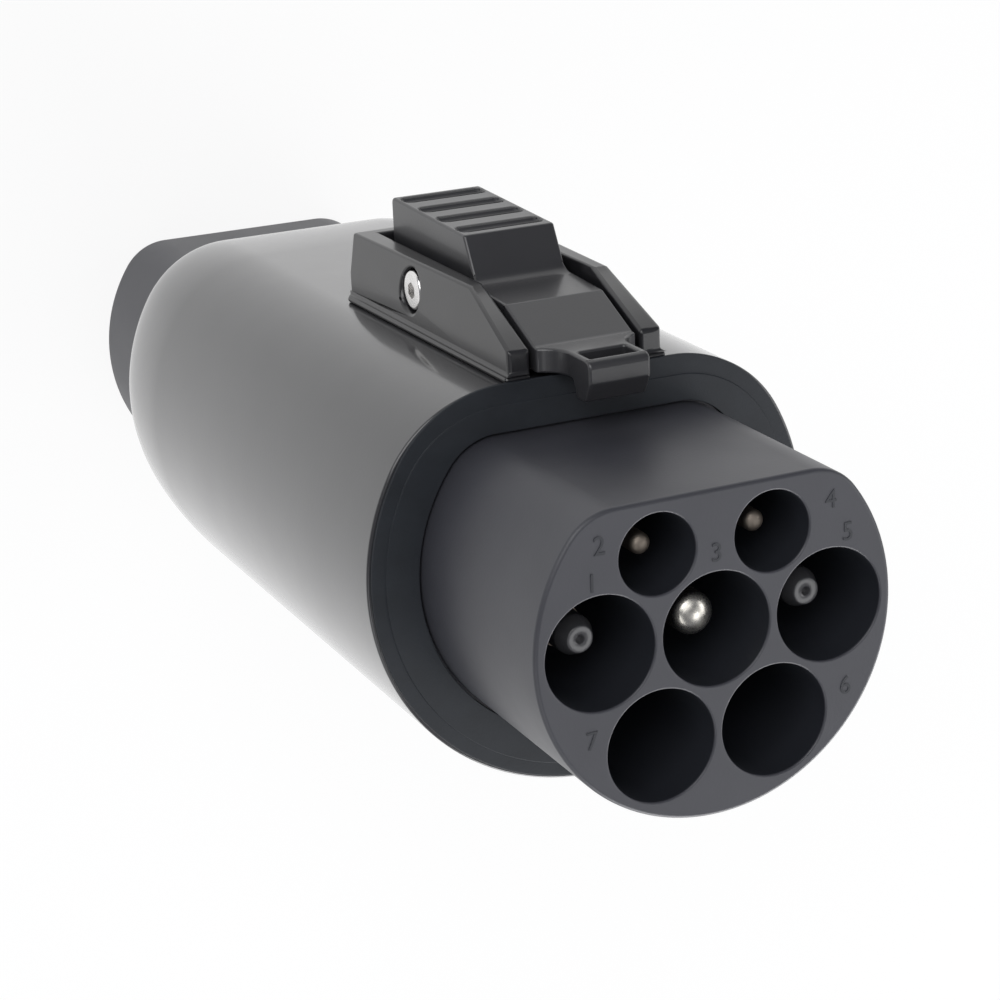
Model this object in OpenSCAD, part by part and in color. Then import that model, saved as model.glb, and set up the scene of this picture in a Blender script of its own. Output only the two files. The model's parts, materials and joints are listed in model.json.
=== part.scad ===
// Charging adapter: a D-shaped plug nose with recessed pins on top, a like socket nose at the foot,
// a moulded grip body between them and a sprung latch along one side.
// The origin is on the plug's axis, in the end face of the socket nose, and +Z runs up to the
// plug's face. The latch lies on the -Y side. In the names below, "out" is the distance from the
// axis towards the latch, "rise" is the height above the body's flat side, and "back" is the
// distance below the plug's face. All lengths are in millimetres.

/* [Body] */
// How far the body's round side stands outside the plug nose
body_step = 8.1; // [7.6:0.1:10]
// How far the body's flat side stands outside the plug nose's flat
body_flat_step = 6.95; // [6.6:0.05:8]
// How much smaller the body's corner radius is than its round side's
body_corner_step = 16; // [15:0.1:18]
// Length of the body's straight stretch
body_len = 92; // [88:1:110]
// Wall of the body
wall = 2.5; // [2.2:0.1:2.8]
// Length of the rounded shoulder
shoulder_len = 20.3; // [18:0.1:26]
// How far the shoulder draws the round side in
shoulder_inset = 2.2; // [1:0.1:2.6]
// How far the shoulder draws the flat side in
shoulder_flat_inset = 1.6; // [1:0.1:2.2]

/* [Plug nose] */
// Length of the plug nose in front of the gasket
plug_len = 35.5; // [34:0.1:40]
// Rim between the outer power cavities and the nose's round side
nose_rim = 1.6; // [1.4:0.1:2.2]
// Distance of the plug nose's flat from the axis, as a share of its radius
plug_flat_share = 0.7295; // [0.72:0.0005:0.75]
// Corner radius of the plug nose, as a share of its radius
plug_corner_share = 0.321; // [0.28:0.001:0.36]
// Bevel of the noses' end edges
nose_bevel = 0.6; // [0.3:0.1:1]

/* [Socket nose] */
// Length of the socket nose behind the shoulder
socket_len = 30.65; // [29:0.05:34]
// How much wider the socket nose is than the plug nose, in radius
socket_step = 0.3; // [0:0.1:0.8]
// How much nearer to the axis its flat is than the plug nose's
socket_flat_step = 0.25; // [0:0.05:0.4]
// How much larger its corner radius is than the plug nose's
socket_corner_step = 0.5; // [0:0.1:1]

/* [Contacts] */
// Distance from the earth cavity to each other power cavity
pitch = 17.2; // [17:0.05:17.6]
// Wall between neighbouring power cavities
cavity_wall = 1.2; // [1:0.1:2]
// Radius of a control cavity, as a share of the pitch
control_cavity_share = 0.3285; // [0.31:0.0005:0.33]
// Sideways distance of a control cavity from the axis, as a share of the pitch
control_side_share = 0.4971; // [0.49:0.0001:0.52]
// Its distance from the axis towards the flat, as a share of the pitch
control_out_share = 0.7012; // [0.69:0.0001:0.71]
// Depth of the cavities
cavity_depth = 36; // [34:0.5:38]
// Thickness of the floor behind the cavities
floor_len = 14; // [13:0.5:16]
// Radius of a power pin
power_pin_r = 3; // [2.8:0.05:3.1]
// Radius of a control pin
control_pin_r = 1.5; // [1.4:0.05:1.6]
// Depth of the earth pin's tip below the face
earth_tip_depth = 5.4; // [4:0.1:7]
// Depth of the line and neutral pins' tips below the face
power_tip_depth = 6; // [5:0.1:8]
// Depth of the control pins' tips below the face
control_tip_depth = 4.3; // [4:0.1:8]
// Length of the insulating cap on the line and neutral pins
cap_len = 6; // [5:0.1:8]

/* [Latch] */
// Height of the cheeks above the body's flat
cheek_rise = 10.7; // [10.4:0.1:12]
// Gap between the button and the bridge behind it
button_clear = 2.5; // [2.4:0.1:6]
// Half width of the slot between the cheeks
slot_half = 8.6; // [8.4:0.1:9]
// Distance of the pivot behind the body's front rim
pivot_behind = 33.4; // [32:0.1:36]
// Height of the pivot above the body's flat
pivot_rise = 6.2; // [6.1:0.05:6.5]
// Radius of the pivot screw's shank
pivot_r = 2; // [1.8:0.05:2.1]
// Distance from the pivot to the rear edge of the button
button_arm = 17.2; // [16.4:0.1:17.7]
// Half width of the button
button_half = 7.3; // [7:0.1:7.6]
// How far the hook reaches in front of the body's rim
hook_reach = 10.2; // [9.5:0.1:12]
// Half width of the hook
hook_half = 4.7; // [4.2:0.1:5.2]

/* [Latch spring] */
// Mean radius of the spring's coil
spring_r = 2.6; // [2.4:0.1:2.8]
// Radius of the spring's wire
spring_wire_r = 0.35; // [0.25:0.05:0.4]
// Number of turns
spring_turns = 7; // [5:1:8]

/* [Hidden] */
$fn = 72;

// Shared allowances
corner_slip = 0.02;
fit_gap = 0.1;
pin_gap = 0.05;
overrun = 1;

// Outlines that follow from the contacts
power_cavity_r = (pitch - cavity_wall) / 2;
control_cavity_r = control_cavity_share * pitch;
control_side = control_side_share * pitch;
control_out = control_out_share * pitch;
plug_r = pitch + power_cavity_r + nose_rim;
plug_flat = plug_flat_share * plug_r;
plug_corner = plug_corner_share * plug_r;
socket_r = plug_r + socket_step;
socket_flat = plug_flat - socket_flat_step;
socket_corner = plug_corner + socket_corner_step;
body_r = plug_r + body_step;
body_flat = plug_flat + body_flat_step;
body_corner = body_r - body_corner_step;

// Gasket: a thick ring in the body's mouth with a thin lip over the body's rim
gasket_proud = 0.6;
gasket_sunk = 0.6;
gasket_lip_inset = 0.5;
gasket_flat_proud = 0.4;
gasket_lip_len = 0.4;
gasket_root_gap = 0.4;

// Flanges that seat the two insulators in the body's mouths
flange_len = 3.4;
ledge_len = 3;
ledge_width = 3;
seal_len = 1;
block_inset = 3.3;

// Heights along the axis
body_foot_z = socket_len + shoulder_len;
body_front_z = body_foot_z + body_len;
gasket_front_z = body_front_z + gasket_proud;
face_z = gasket_front_z + plug_len;
plug_seat_z = body_front_z - gasket_sunk - flange_len;
socket_seat_z = socket_len + flange_len + seal_len;
plug_floor_z = face_z - cavity_depth;
socket_floor_z = cavity_depth;
plug_block_z = plug_floor_z - floor_len;
socket_block_z = socket_floor_z + floor_len;
body_back = face_z - body_front_z;
pivot_back = body_back + pivot_behind;
hook_arm = pivot_behind + hook_reach;

// Inset of the foot's mouth from the body's outline
foot_mouth_inset = shoulder_inset + wall;

// Section of the shoulder: shares of its length where it is sliced, and its roundness
shoulder_shares = [0, 0.25, 0.5, 0.7, 0.85, 0.95, 1];
shoulder_power = 1.72;
shoulder_sides = 48;
slice_len = 0.01;

// Contacts
power_angle = 60;
spare_side = pitch * cos(power_angle);
spare_down = pitch * sin(power_angle);
pin_chamfer = 0.8;
pin_tip_share = 0.8;
collar_len = 3;
power_collar_step = 2;
power_collar_r = power_pin_r + power_collar_step;
power_barrel_step = 0.6;
power_barrel_r = power_pin_r + power_barrel_step;
power_core_r = 2;
pin_root = 0.4;
power_cover_r = 2.8;
control_collar_step = 1;
control_collar_r = control_pin_r + control_collar_step;
control_barrel_r = control_pin_r + pin_root;
control_core_r = 0.8;
control_cover_r = 1.3;
barrel_len = 12;
barrel_hole_len = 9;
cap_tip_share = 0.63;
cap_cone_share = 0.35;
cap_dimple_r = 0.6;
cap_dimple_len = 1;
cap_spigot_r = 1.8;
cap_slim = 0.2;
cap_wall_len = 2.2;

// Retainers, their screws, and the bolts that tie the two insulators together
retainer_len = 2.5;
retainer_inset = 0.3;
screw_r = 1.25;
screw_head_r = 2.3;
screw_head_len = 1.8;
screw_len = 8;
screw_side_share = 0.96;
screw_down_share = 0.61;
screw_out_share = 0.523;
screw_side = screw_side_share * pitch;
screw_down = screw_down_share * pitch;
screw_out = screw_out_share * pitch;
screw_key_share = 0.55;
screw_key_r = screw_key_share * screw_head_r;
screw_key_depth_share = 0.6;
tie_r = 1.5;
tie_head_r = 2.75;
tie_head_len = 3;
tie_hole_gap = 0.15;
insert_r = 2.3;
insert_len = 6;

// Cheeks: half widths outside, at the front and rear, at the top and at the base
bridge_len = 2.5;
cheek_start = 0.2;
cheek_front_back = body_back + cheek_start;
cheek_rear_back = pivot_back + button_arm + button_clear + bridge_len;
cheek_len = cheek_rear_back - cheek_front_back;
cheek_front_rise = 4.5;
cheek_slant = 14.3;
cheek_front_base_width = 3.4;
cheek_front_top_width = 2.05;
cheek_rear_base_width = 4.3;
cheek_rear_top_width = 3.4;
cheek_front_base = slot_half + cheek_front_base_width;
cheek_front_top = slot_half + cheek_front_top_width;
cheek_rear_base = slot_half + cheek_rear_base_width;
cheek_rear_top = slot_half + cheek_rear_top_width;
boss_root = 0.4;
ledge_rise = 1.1;
ledge_front_width = 0.6;
ledge_rear_width = 0.9;
ledge_front_half = cheek_front_base + ledge_front_width;
ledge_rear_half = cheek_rear_base + ledge_rear_width;

// Screws that hold the latch's bracket from inside the body
bracket_screw_inset = 1.8;
bracket_screw_side = slot_half + bracket_screw_inset;
bracket_screw_front = 10.9;
bracket_screw_rear = 5.7;
bracket_screw_r = 0.9;
bracket_screw_len = 6.5;
bracket_head_r = 1.7;
bracket_head_len = 1.2;

// Pivot
pivot_z = face_z - pivot_back;
pivot_out = body_flat + pivot_rise;
pivot_gap = 0.05;
pivot_head_share = 1.5;
pivot_head_r = pivot_head_share * pivot_r;
pivot_head_len = 2.1;
pivot_well_gap = 0.3;
pivot_well_r = pivot_head_r + pivot_well_gap;
pivot_well_len = 2;
pivot_wall = 3.3;
pivot_face = slot_half + pivot_wall;
pivot_key_share = 0.5;
pivot_key_r = pivot_key_share * pivot_head_r;
pivot_key_len = 1;
nut_share = 1.6;
nut_r = nut_share * pivot_r;
nut_len = 1.8;
hex_sides = 6;
round_sides = 72;

// Lever: rises above the body's flat, and distances in front of or behind the pivot
tongue_under_rise = 0.9;
tongue_top_rise = 4.5;
hook_round = 1.2;
hook_brow_rise = 1.2;
hook_foot_rise = -1.7;
hook_foot_step = 1.6;
hook_foot_len = 2.6;
hook_heel_step = 5.2;
slope_front_arm = 32.7;
slope_rear_arm = 23.7;
slope_rear_rise = 8.6;
land_rear_arm = 14.58;
land_rear_rise = 9.07;
front_foot_arm = 12.12;
front_foot_rise = 10.61;
button_front_arm = 9.3;
button_front_rise = 15.7;
button_rear_rise = 16.6;
button_scoop_r = 3;
button_under_rise = 9;
hub_r = 5.2;
heel_arm = 7.5;
lever_half = 7.8;
flare_r = 4.5;
flare_front_step = 5.9;
flare_front_arm = hook_arm - flare_front_step;
window_half = 3.7;
window_bar = 1.2;
window_len = 4.4;
window_front_arm = hook_arm - window_bar;
window_rear_arm = window_front_arm - window_len;
window_rise = 2.6;
groove_r = 1.9;
groove_half = 6.6;
groove_depth = 0.9;
groove_pitch = 6.7;
groove_first = 14.1;
groove_count = 4;

// Spring below the button
spring_arm = 11.2;
spring_seat_depth = 1;
spring_seat_gap = 0.5;
spring_cup_depth = 1;
spring_steps = 14;
spring_sides = 6;

// Switch, its plunger and its board
plunger_arm = 5.2;
plunger_r = 1.5;
plunger_gap = 0.06;
plunger_flange_r = 2.6;
plunger_flange_len = 0.8;
plunger_drop = 0.2;
plunger_top_rise = 2;
plunger_top_gap = 0.2;
switch_len = 12.8;
switch_width = 5.8;
switch_height = 5.6;
switch_room = 1.4;
switch_hole_len = 2.6;
board_len = 30;
board_width = 17;
board_thick = 1.6;
board_screw_span = 23;
board_boss_r = 3;
board_screw_len = 6;
board_screw_r = 1;
board_head_r = 1.9;
board_head_len = 1.3;
resistor_r = 1.1;
resistor_len = 6;
resistor_side = 6;
inner_out = body_flat - wall;
switch_top_out = inner_out - plunger_drop - plunger_flange_len - switch_room;
board_top_out = switch_top_out - switch_height;
board_out = board_top_out - board_thick;
plunger_foot_depth = 1;
plunger_foot_out = switch_top_out - plunger_foot_depth;

// Colours as in the photograph
body_grey = [0.35, 0.35, 0.37];
nose_grey = [0.33, 0.33, 0.35];
latch_grey = [0.24, 0.24, 0.26];
rubber_blue = [0.15, 0.18, 0.2];
cap_grey = [0.5, 0.5, 0.52];
steel = [0.75, 0.75, 0.76];
plated = [0.78, 0.76, 0.7];
brass = [0.78, 0.65, 0.36];
board_green = [0.1, 0.35, 0.2];
switch_black = [0.1, 0.1, 0.1];
wire_red = [0.6, 0.16, 0.14];
wire_blue = [0.15, 0.3, 0.6];
wire_green = [0.3, 0.6, 0.2];
wire_white = [0.85, 0.85, 0.82];

// Flat outline with one straight side towards -Y and rounded corners beside it
module d_profile(r, flat, corner) {
    drop = flat - corner;
    side = sqrt(pow(r - corner, 2) - pow(drop, 2));
    far = 2 * r / drop;
    difference() {
        circle(r);
        translate([-r, -flat - 2 * r]) square(2 * r);
        for (way = [-1, 1]) difference() {
            polygon([[way * side, -drop], far * [way * side, -drop], [way * side, -2 * r]]);
            translate([way * side, -drop]) circle(corner + corner_slip);
        }
    }
}

module body_profile(inset) {
    d_profile(body_r - inset, body_flat - inset, body_corner - inset);
}

module plug_profile(inset) {
    d_profile(plug_r - inset, plug_flat - inset, plug_corner - inset);
}

module socket_profile(inset) {
    d_profile(socket_r - inset, socket_flat - inset, socket_corner - inset);
}

// Solid between two heights
module between(low, high) {
    translate([0, 0, low]) linear_extrude(high - low) children();
}

// Lays a [out, back] drawing across the latch's width
module across(width) {
    translate([0, 0, face_z]) rotate([-90, 0, -90]) linear_extrude(width, center = true) children();
}

// Raises a [side, back] drawing from one distance out to another
module outwards(low, high) {
    translate([0, -low, face_z]) rotate([-90, 0, 180]) linear_extrude(high - low) children();
}

// Round stud or hole that runs outwards at a distance back from the face
module outward_rod(r, back, low, high, side = 0) {
    translate([-side, -low, face_z - back]) rotate([90, 0, 0]) cylinder(h = high - low, r = r);
}

// Places of the seven cavities, as the plug's face shows them with the latch at the top
function power_places() = [[0, 0], [-pitch, 0], [pitch, 0]];
function spare_places() = [[-spare_side, spare_down], [spare_side, spare_down]];
function control_places() = [[-control_side, -control_out], [control_side, -control_out]];
function screw_places() = [[0, screw_down], [screw_side, -screw_out], [-screw_side, -screw_out]];

line_place = [pitch, 0];
neutral_place = [-pitch, 0];
earth_place = [0, 0];
pilot_place = [-control_side, -control_out];
proximity_place = [control_side, -control_out];

module at(places) {
    for (place = places) translate(place) children();
}

// Body shell
function shoulder_share(u) = 1 - pow(1 - pow(u, shoulder_power), 1 / shoulder_power);

module shoulder() {
    hull() {
        for (u = shoulder_shares) {
            draw = shoulder_share(u);
            r = body_r - shoulder_inset * draw;
            flat = body_flat - shoulder_flat_inset * draw;
            corner = body_corner - shoulder_inset * draw;
            translate([0, 0, body_foot_z - (shoulder_len - slice_len) * u - slice_len])
                linear_extrude(slice_len) d_profile(r, flat, corner, $fn = shoulder_sides);
        }
    }
}

module cheek_section(half_base, half_top, top_rise, back) {
    translate([0, 0, face_z - back - slice_len])
        linear_extrude(slice_len)
            polygon([[slot_half, -body_flat], [half_base, -body_flat],
                [half_base, -body_flat - min(cheek_front_rise, top_rise)],
                [half_top, -body_flat - top_rise], [slot_half, -body_flat - top_rise]]);
}

module cheek() {
    slant_back = cheek_front_back + cheek_slant;
    slant_share = cheek_slant / cheek_len;
    slant_base = cheek_front_base + (cheek_rear_base - cheek_front_base) * slant_share;
    slant_top = cheek_front_top + (cheek_rear_top - cheek_front_top) * slant_share;
    hull() {
        cheek_section(cheek_front_base, cheek_front_base, cheek_front_rise, cheek_front_back);
        cheek_section(slant_base, slant_top, cheek_rise, slant_back);
        cheek_section(cheek_rear_base, cheek_rear_top, cheek_rise, cheek_rear_back - slice_len);
    }
}

module cheek_ledge() {
    outwards(body_flat, body_flat + ledge_rise)
        polygon([[-ledge_front_half, body_back], [ledge_front_half, body_back],
            [ledge_rear_half, cheek_rear_back], [-ledge_rear_half, cheek_rear_back]]);
}

module body_shell() color(body_grey) {
    difference() {
        union() {
            between(body_foot_z, body_front_z) body_profile(0);
            shoulder();
        }
        // Main bore, front mouth and foot mouth
        between(body_foot_z, plug_seat_z - ledge_len) body_profile(wall);
        between(socket_seat_z + ledge_len, body_foot_z + overrun) body_profile(foot_mouth_inset);
        between(plug_seat_z, body_front_z + overrun) body_profile(wall);
        between(socket_len - overrun, socket_seat_z) body_profile(foot_mouth_inset);
        between(socket_len, body_front_z) body_profile(foot_mouth_inset + ledge_width);
        // Spring seat and plunger bore in the floor of the bay
        outward_rod(spring_r + spring_wire_r + spring_seat_gap, pivot_back + spring_arm,
            body_flat - spring_seat_depth, body_flat + overrun);
        outward_rod(plunger_r + plunger_gap, pivot_back + plunger_arm, inner_out - overrun,
            body_flat + overrun);
        bracket_screw_places() outward_rod(bracket_screw_r + fit_gap, 0, inner_out - overrun,
            body_flat + overrun);
    }
    board_bosses();
}

// Latch bracket: two cheeks with a ledge along their feet and a bridge behind the button
module latch_bracket() color(body_grey)
    difference() {
        union() {
            for (way = [0, 1]) mirror([way, 0, 0]) cheek();
            cheek_ledge();
            outwards(body_flat, body_flat + cheek_rise)
                translate([-slot_half - boss_root, cheek_rear_back - bridge_len])
                    square([2 * (slot_half + boss_root), bridge_len - slice_len]);
        }
        // Lever bay between the cheeks
        outwards(body_flat - overrun, body_flat + cheek_rise + overrun)
            translate([-slot_half, body_back - overrun])
                square([2 * slot_half, cheek_rear_back - bridge_len - body_back + overrun]);
        // Pivot bore with a well for the screw's head on one side and for the nut on the other
        pivot_rod(pivot_r + pivot_gap, -2 * cheek_rear_base, 2 * cheek_rear_base);
        pivot_rod(pivot_well_r, pivot_face - pivot_well_len, 2 * cheek_rear_base);
        pivot_rod(nut_r + fit_gap, -2 * cheek_rear_base, -pivot_face + pivot_well_len, hex_sides);
        bracket_screw_places() outward_rod(bracket_screw_r + pin_gap, 0, body_flat - overrun,
            inner_out + bracket_screw_len + fit_gap);
    }

// Four places along the cheeks' feet
module bracket_screw_places() {
    for (way = [-1, 1], back = [body_back + bracket_screw_front, cheek_rear_back - bracket_screw_rear])
        translate([way * bracket_screw_side, 0, -back]) children();
}

module bracket_screws() color(steel)
    bracket_screw_places() {
        outward_rod(bracket_screw_r, 0, inner_out, inner_out + bracket_screw_len);
        outward_rod(bracket_head_r, 0, inner_out - bracket_head_len, inner_out);
    }

module board_bosses() {
    difference() {
        board_pair() outward_rod(board_boss_r, 0, board_top_out, inner_out + boss_root);
        board_pair() outward_rod(board_screw_r, 0, board_top_out - overrun,
            board_out + board_screw_len);
    }
}

// Two places along the board, either side of the switch
module board_pair() {
    for (way = [-1, 1])
        translate([0, 0, -pivot_back - plunger_arm + way * board_screw_span / 2]) children();
}

// Rod along the pivot's axis between two distances sideways
module pivot_rod(r, low, high, sides = round_sides) {
    translate([low, -pivot_out, pivot_z]) rotate([0, 90, 0])
        cylinder(h = high - low, r = r, $fn = sides);
}

// Insulators: nose, flange and back block in one moulding, drawn with the face down at Z = 0
module insulator_solid(seat_depth, flange_inset) {
    between(nose_bevel, seat_depth + flange_len) children(0);
    hull() {
        between(0, slice_len) children(1);
        between(nose_bevel, nose_bevel + slice_len) children(0);
    }
    between(seat_depth, seat_depth + flange_len) body_profile(flange_inset);
    between(seat_depth + flange_len - overrun, cavity_depth + floor_len) children(2);
}

// Everything that is cut out of an insulator, with the face down at Z = 0
module insulator_cuts() {
    between(-overrun, cavity_depth) at(concat(power_places(), spare_places())) circle(power_cavity_r);
    between(-overrun, cavity_depth) at(control_places()) circle(control_cavity_r);
    block = cavity_depth + floor_len;
    between(cavity_depth - overrun, block + overrun) {
        at(power_places()) circle(power_pin_r + pin_root + pin_gap);
        at(control_places()) circle(control_pin_r + pin_root + pin_gap);
    }
    between(block - collar_len, block + overrun) {
        at(power_places()) circle(power_collar_r + fit_gap);
        at(control_places()) circle(control_collar_r + fit_gap);
    }
    between(block - screw_len + retainer_len, block + overrun) at(screw_places())
        circle(screw_r + pin_gap);
}

module plug_insulator() color(nose_grey)
    difference() {
        translate([0, 0, face_z]) mirror([0, 0, 1]) difference() {
            insulator_solid(face_z - plug_seat_z - flange_len, wall + fit_gap) {
                plug_profile(0);
                plug_profile(nose_bevel);
                plug_profile(block_inset);
            }
            insulator_cuts();
        }
        between(plug_block_z - overrun, plug_block_z + insert_len) at(spare_places())
            circle(insert_r + pin_gap);
        // Bolt holes, drilled right through the floors of the empty cavities
        between(plug_block_z, plug_floor_z + overrun) at(spare_places())
            circle(tie_r + tie_hole_gap);
    }

module socket_insulator() color(nose_grey)
    difference() {
        insulator_solid(socket_len, foot_mouth_inset + fit_gap) {
            socket_profile(0);
            socket_profile(nose_bevel);
            socket_profile(block_inset);
        }
        insulator_cuts();
        between(cavity_depth - overrun, socket_block_z + overrun) at(spare_places())
            circle(tie_r + tie_hole_gap);
        between(cavity_depth - overrun, cavity_depth + tie_head_len) at(spare_places())
            circle(tie_head_r + fit_gap);
    }

// Gasket and seal
module front_gasket() color(rubber_blue) {
    lip_flat = body_flat + gasket_flat_proud;
    difference() {
        union() {
            between(body_front_z - gasket_sunk, body_front_z) body_profile(wall + fit_gap);
            between(body_front_z, gasket_front_z - gasket_proud + gasket_lip_len)
                d_profile(body_r - gasket_lip_inset, lip_flat, body_corner);
            between(body_front_z, gasket_front_z) body_profile(wall + fit_gap);
        }
        between(body_front_z - gasket_sunk - overrun, gasket_front_z + overrun)
            plug_profile(-gasket_root_gap);
    }
}

module rear_seal() color(rubber_blue)
    between(socket_seat_z - seal_len, socket_seat_z) difference() {
        body_profile(foot_mouth_inset + fit_gap);
        body_profile(foot_mouth_inset + ledge_width);
    }

// Latch lever: the side view, cut to the plan view, then grooved, windowed and bored
module lever_side() {
    tip = pivot_back - hook_arm;
    under = body_flat + tongue_under_rise;
    top = body_flat + tongue_top_rise;
    foot = body_flat + hook_foot_rise;
    rear = pivot_back + button_arm;
    heel = body_flat + plunger_top_rise + plunger_top_gap;
    difference() {
        polygon([[top - hook_round, tip], [top, tip + hook_round],
            [top, pivot_back - slope_front_arm],
            [body_flat + slope_rear_rise, pivot_back - slope_rear_arm],
            [body_flat + land_rear_rise, pivot_back - land_rear_arm],
            [body_flat + front_foot_rise, pivot_back - front_foot_arm],
            [body_flat + button_front_rise, pivot_back - button_front_arm],
            [body_flat + button_rear_rise, rear],
            [body_flat + button_under_rise, rear],
            [body_flat + button_under_rise, pivot_back + heel_arm],
            [heel, pivot_back + heel_arm], [heel, pivot_back],
            [pivot_out - hub_r, pivot_back],
            [under, pivot_back - hub_r], [under, tip + hook_heel_step],
            [foot, tip + hook_foot_step + hook_foot_len], [foot, tip + hook_foot_step],
            [body_flat + hook_brow_rise, tip]]);
        scoop();
    }
    translate([pivot_out, pivot_back]) circle(hub_r);
}

// Hollow where the button's front rises from the land, through the points where it meets both
module scoop() {
    low = [body_flat + land_rear_rise, pivot_back - land_rear_arm];
    high = [body_flat + front_foot_rise, pivot_back - front_foot_arm];
    half = (high - low) / 2;
    across_len = norm(half);
    lift = sqrt(pow(button_scoop_r, 2) - pow(across_len, 2));
    normal = [half[1], -half[0]] / across_len;
    translate(low + half + lift * normal) circle(button_scoop_r);
}

module lever_plan() {
    tip = pivot_back - hook_arm;
    rear = pivot_back + button_arm;
    split = pivot_back - button_front_arm;
    difference() {
        translate([-lever_half, tip]) square([2 * lever_half, split - tip]);
        for (way = [-1, 1]) {
            translate([way * (hook_half + flare_r), pivot_back - flare_front_arm]) circle(flare_r);
            translate([way * (hook_half + lever_half) - lever_half, tip - overrun])
                square([2 * lever_half, hook_arm - flare_front_arm + overrun]);
        }
    }
    translate([-button_half, split - overrun]) square([2 * button_half, rear - split + overrun]);
}

module latch_lever() color(latch_grey)
    difference() {
        intersection() {
            across(2 * lever_half) lever_side();
            outwards(0, 2 * body_flat) lever_plan();
        }
        pivot_rod(pivot_r + pivot_gap, -2 * lever_half, 2 * lever_half);
        // Window behind the hook's front bar
        outwards(body_flat + tongue_top_rise - window_rise, 2 * body_flat)
            translate([-window_half, pivot_back - window_front_arm])
                square([2 * window_half, window_front_arm - window_rear_arm]);
        // Grip grooves across the button, counted from its rear edge
        for (i = [0:groove_count - 1]) groove(pivot_back + groove_first - i * groove_pitch);
        // Cup for the spring
        outward_rod(spring_r + spring_wire_r + spring_seat_gap, pivot_back + spring_arm,
            body_flat + button_under_rise - overrun,
            body_flat + button_under_rise + spring_cup_depth);
    }

// One rounded groove across the button's top, which slopes a little
module groove(back) {
    share = (back - pivot_back + button_front_arm) / (button_arm + button_front_arm);
    top = body_flat + button_front_rise + share * (button_rear_rise - button_front_rise);
    translate([0, -top - groove_r + groove_depth, face_z - back])
        rotate([0, 90, 0]) cylinder(h = 2 * groove_half, r = groove_r, center = true);
}

// Pivot screw and nut
module latch_pivot_screw() color(steel)
    difference() {
        union() {
            pivot_rod(pivot_r, -pivot_face + pivot_well_len - nut_len, pivot_face - pivot_well_len);
            pivot_rod(pivot_head_r, pivot_face - pivot_well_len,
                pivot_face - pivot_well_len + pivot_head_len);
        }
        pivot_rod(pivot_key_r, pivot_face - pivot_well_len + pivot_head_len - pivot_key_len,
            pivot_face + overrun, hex_sides);
    }

module latch_pivot_nut() color(steel)
    difference() {
        pivot_rod(nut_r, -pivot_face + pivot_well_len - nut_len, -pivot_face + pivot_well_len,
            hex_sides);
        pivot_rod(pivot_r + pin_gap, -pivot_face, -pivot_face + pivot_well_len + overrun);
    }

// Spring: a coil swept around its own axis, with closed turns at both ends
function coil_share(t, turns) = t < 1 ? 0.5 * t * t / (turns - 1) : t > turns - 1 ?
    1 - 0.5 * (turns - t) * (turns - t) / (turns - 1) : (t - 0.5) / (turns - 1);

function ring(centre, angle, r, sides) = [for (k = [0:sides - 1])
    let (a = 360 * k / sides)
    centre + r * [cos(a) * cos(angle), cos(a) * sin(angle), sin(a)]];

module coil(mean_r, wire_r, height, turns, steps, sides) {
    count = turns * steps;
    points = [for (i = [0:count]) let (t = i / steps, a = 360 * t)
        each ring([mean_r * cos(a), mean_r * sin(a),
            wire_r + (height - 2 * wire_r) * coil_share(t, turns)], a, wire_r, sides)];
    last = count * sides;
    faces = concat(
        [[for (k = [0:sides - 1]) k]],
        [for (i = [0:count - 1], k = [0:sides - 1]) let (n = (k + 1) % sides)
            [i * sides + k, (i + 1) * sides + k, (i + 1) * sides + n, i * sides + n]],
        [[for (k = [sides - 1:-1:0]) last + k]]);
    polyhedron(points, faces);
}

module latch_spring() color(steel) {
    low = body_flat - spring_seat_depth;
    high = body_flat + button_under_rise + spring_cup_depth;
    translate([0, -low, face_z - pivot_back - spring_arm]) rotate([90, 0, 0])
        coil(spring_r, spring_wire_r, high - low, spring_turns, spring_steps, spring_sides);
}

// Switch and its board
module switch_plunger() color(switch_black) {
    back = pivot_back + plunger_arm;
    outward_rod(plunger_r, back, plunger_foot_out, body_flat + plunger_top_rise);
    outward_rod(plunger_flange_r, back, inner_out - plunger_drop - plunger_flange_len,
        inner_out - plunger_drop);
}

module microswitch() color(switch_black)
    difference() {
        outwards(board_top_out, switch_top_out)
            translate([-switch_width / 2, pivot_back + plunger_arm - switch_len / 2])
                square([switch_width, switch_len]);
        outward_rod(plunger_r + fit_gap, pivot_back + plunger_arm, switch_top_out - switch_hole_len,
            switch_top_out + overrun);
    }

module switch_board() color(board_green)
    difference() {
        outwards(board_out, board_top_out)
            translate([-board_width / 2, pivot_back + plunger_arm - board_len / 2])
                square([board_width, board_len]);
        board_pair() outward_rod(board_screw_r + fit_gap, 0, board_out - overrun,
            board_top_out + overrun);
    }

module coding_resistor() color(wire_blue)
    translate([resistor_side, -board_top_out - resistor_r,
        face_z - pivot_back - plunger_arm - resistor_len / 2])
        cylinder(h = resistor_len, r = resistor_r);

module board_screws() color(steel)
    board_pair() {
        outward_rod(board_screw_r, 0, board_out, board_out + board_screw_len);
        outward_rod(board_head_r, 0, board_out - board_head_len, board_out);
    }

// Retainers behind the pins' collars, with the block's face at Z = 0
module retainer_plate() {
    between(0, retainer_len) difference() {
        children();
        at(power_places()) circle(power_barrel_r + fit_gap);
        at(control_places()) circle(control_barrel_r + fit_gap);
        at(screw_places()) circle(screw_r + fit_gap);
        at(spare_places()) circle(tie_r + tie_hole_gap);
    }
}

module retainer_screws() {
    at(screw_places()) difference() {
        union() {
            between(retainer_len - screw_len, retainer_len) circle(screw_r);
            between(retainer_len, retainer_len + screw_head_len) circle(screw_head_r);
        }
        between(retainer_len + screw_head_len * (1 - screw_key_depth_share),
            retainer_len + screw_head_len + overrun) circle(screw_key_r, $fn = hex_sides);
    }
}

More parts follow.
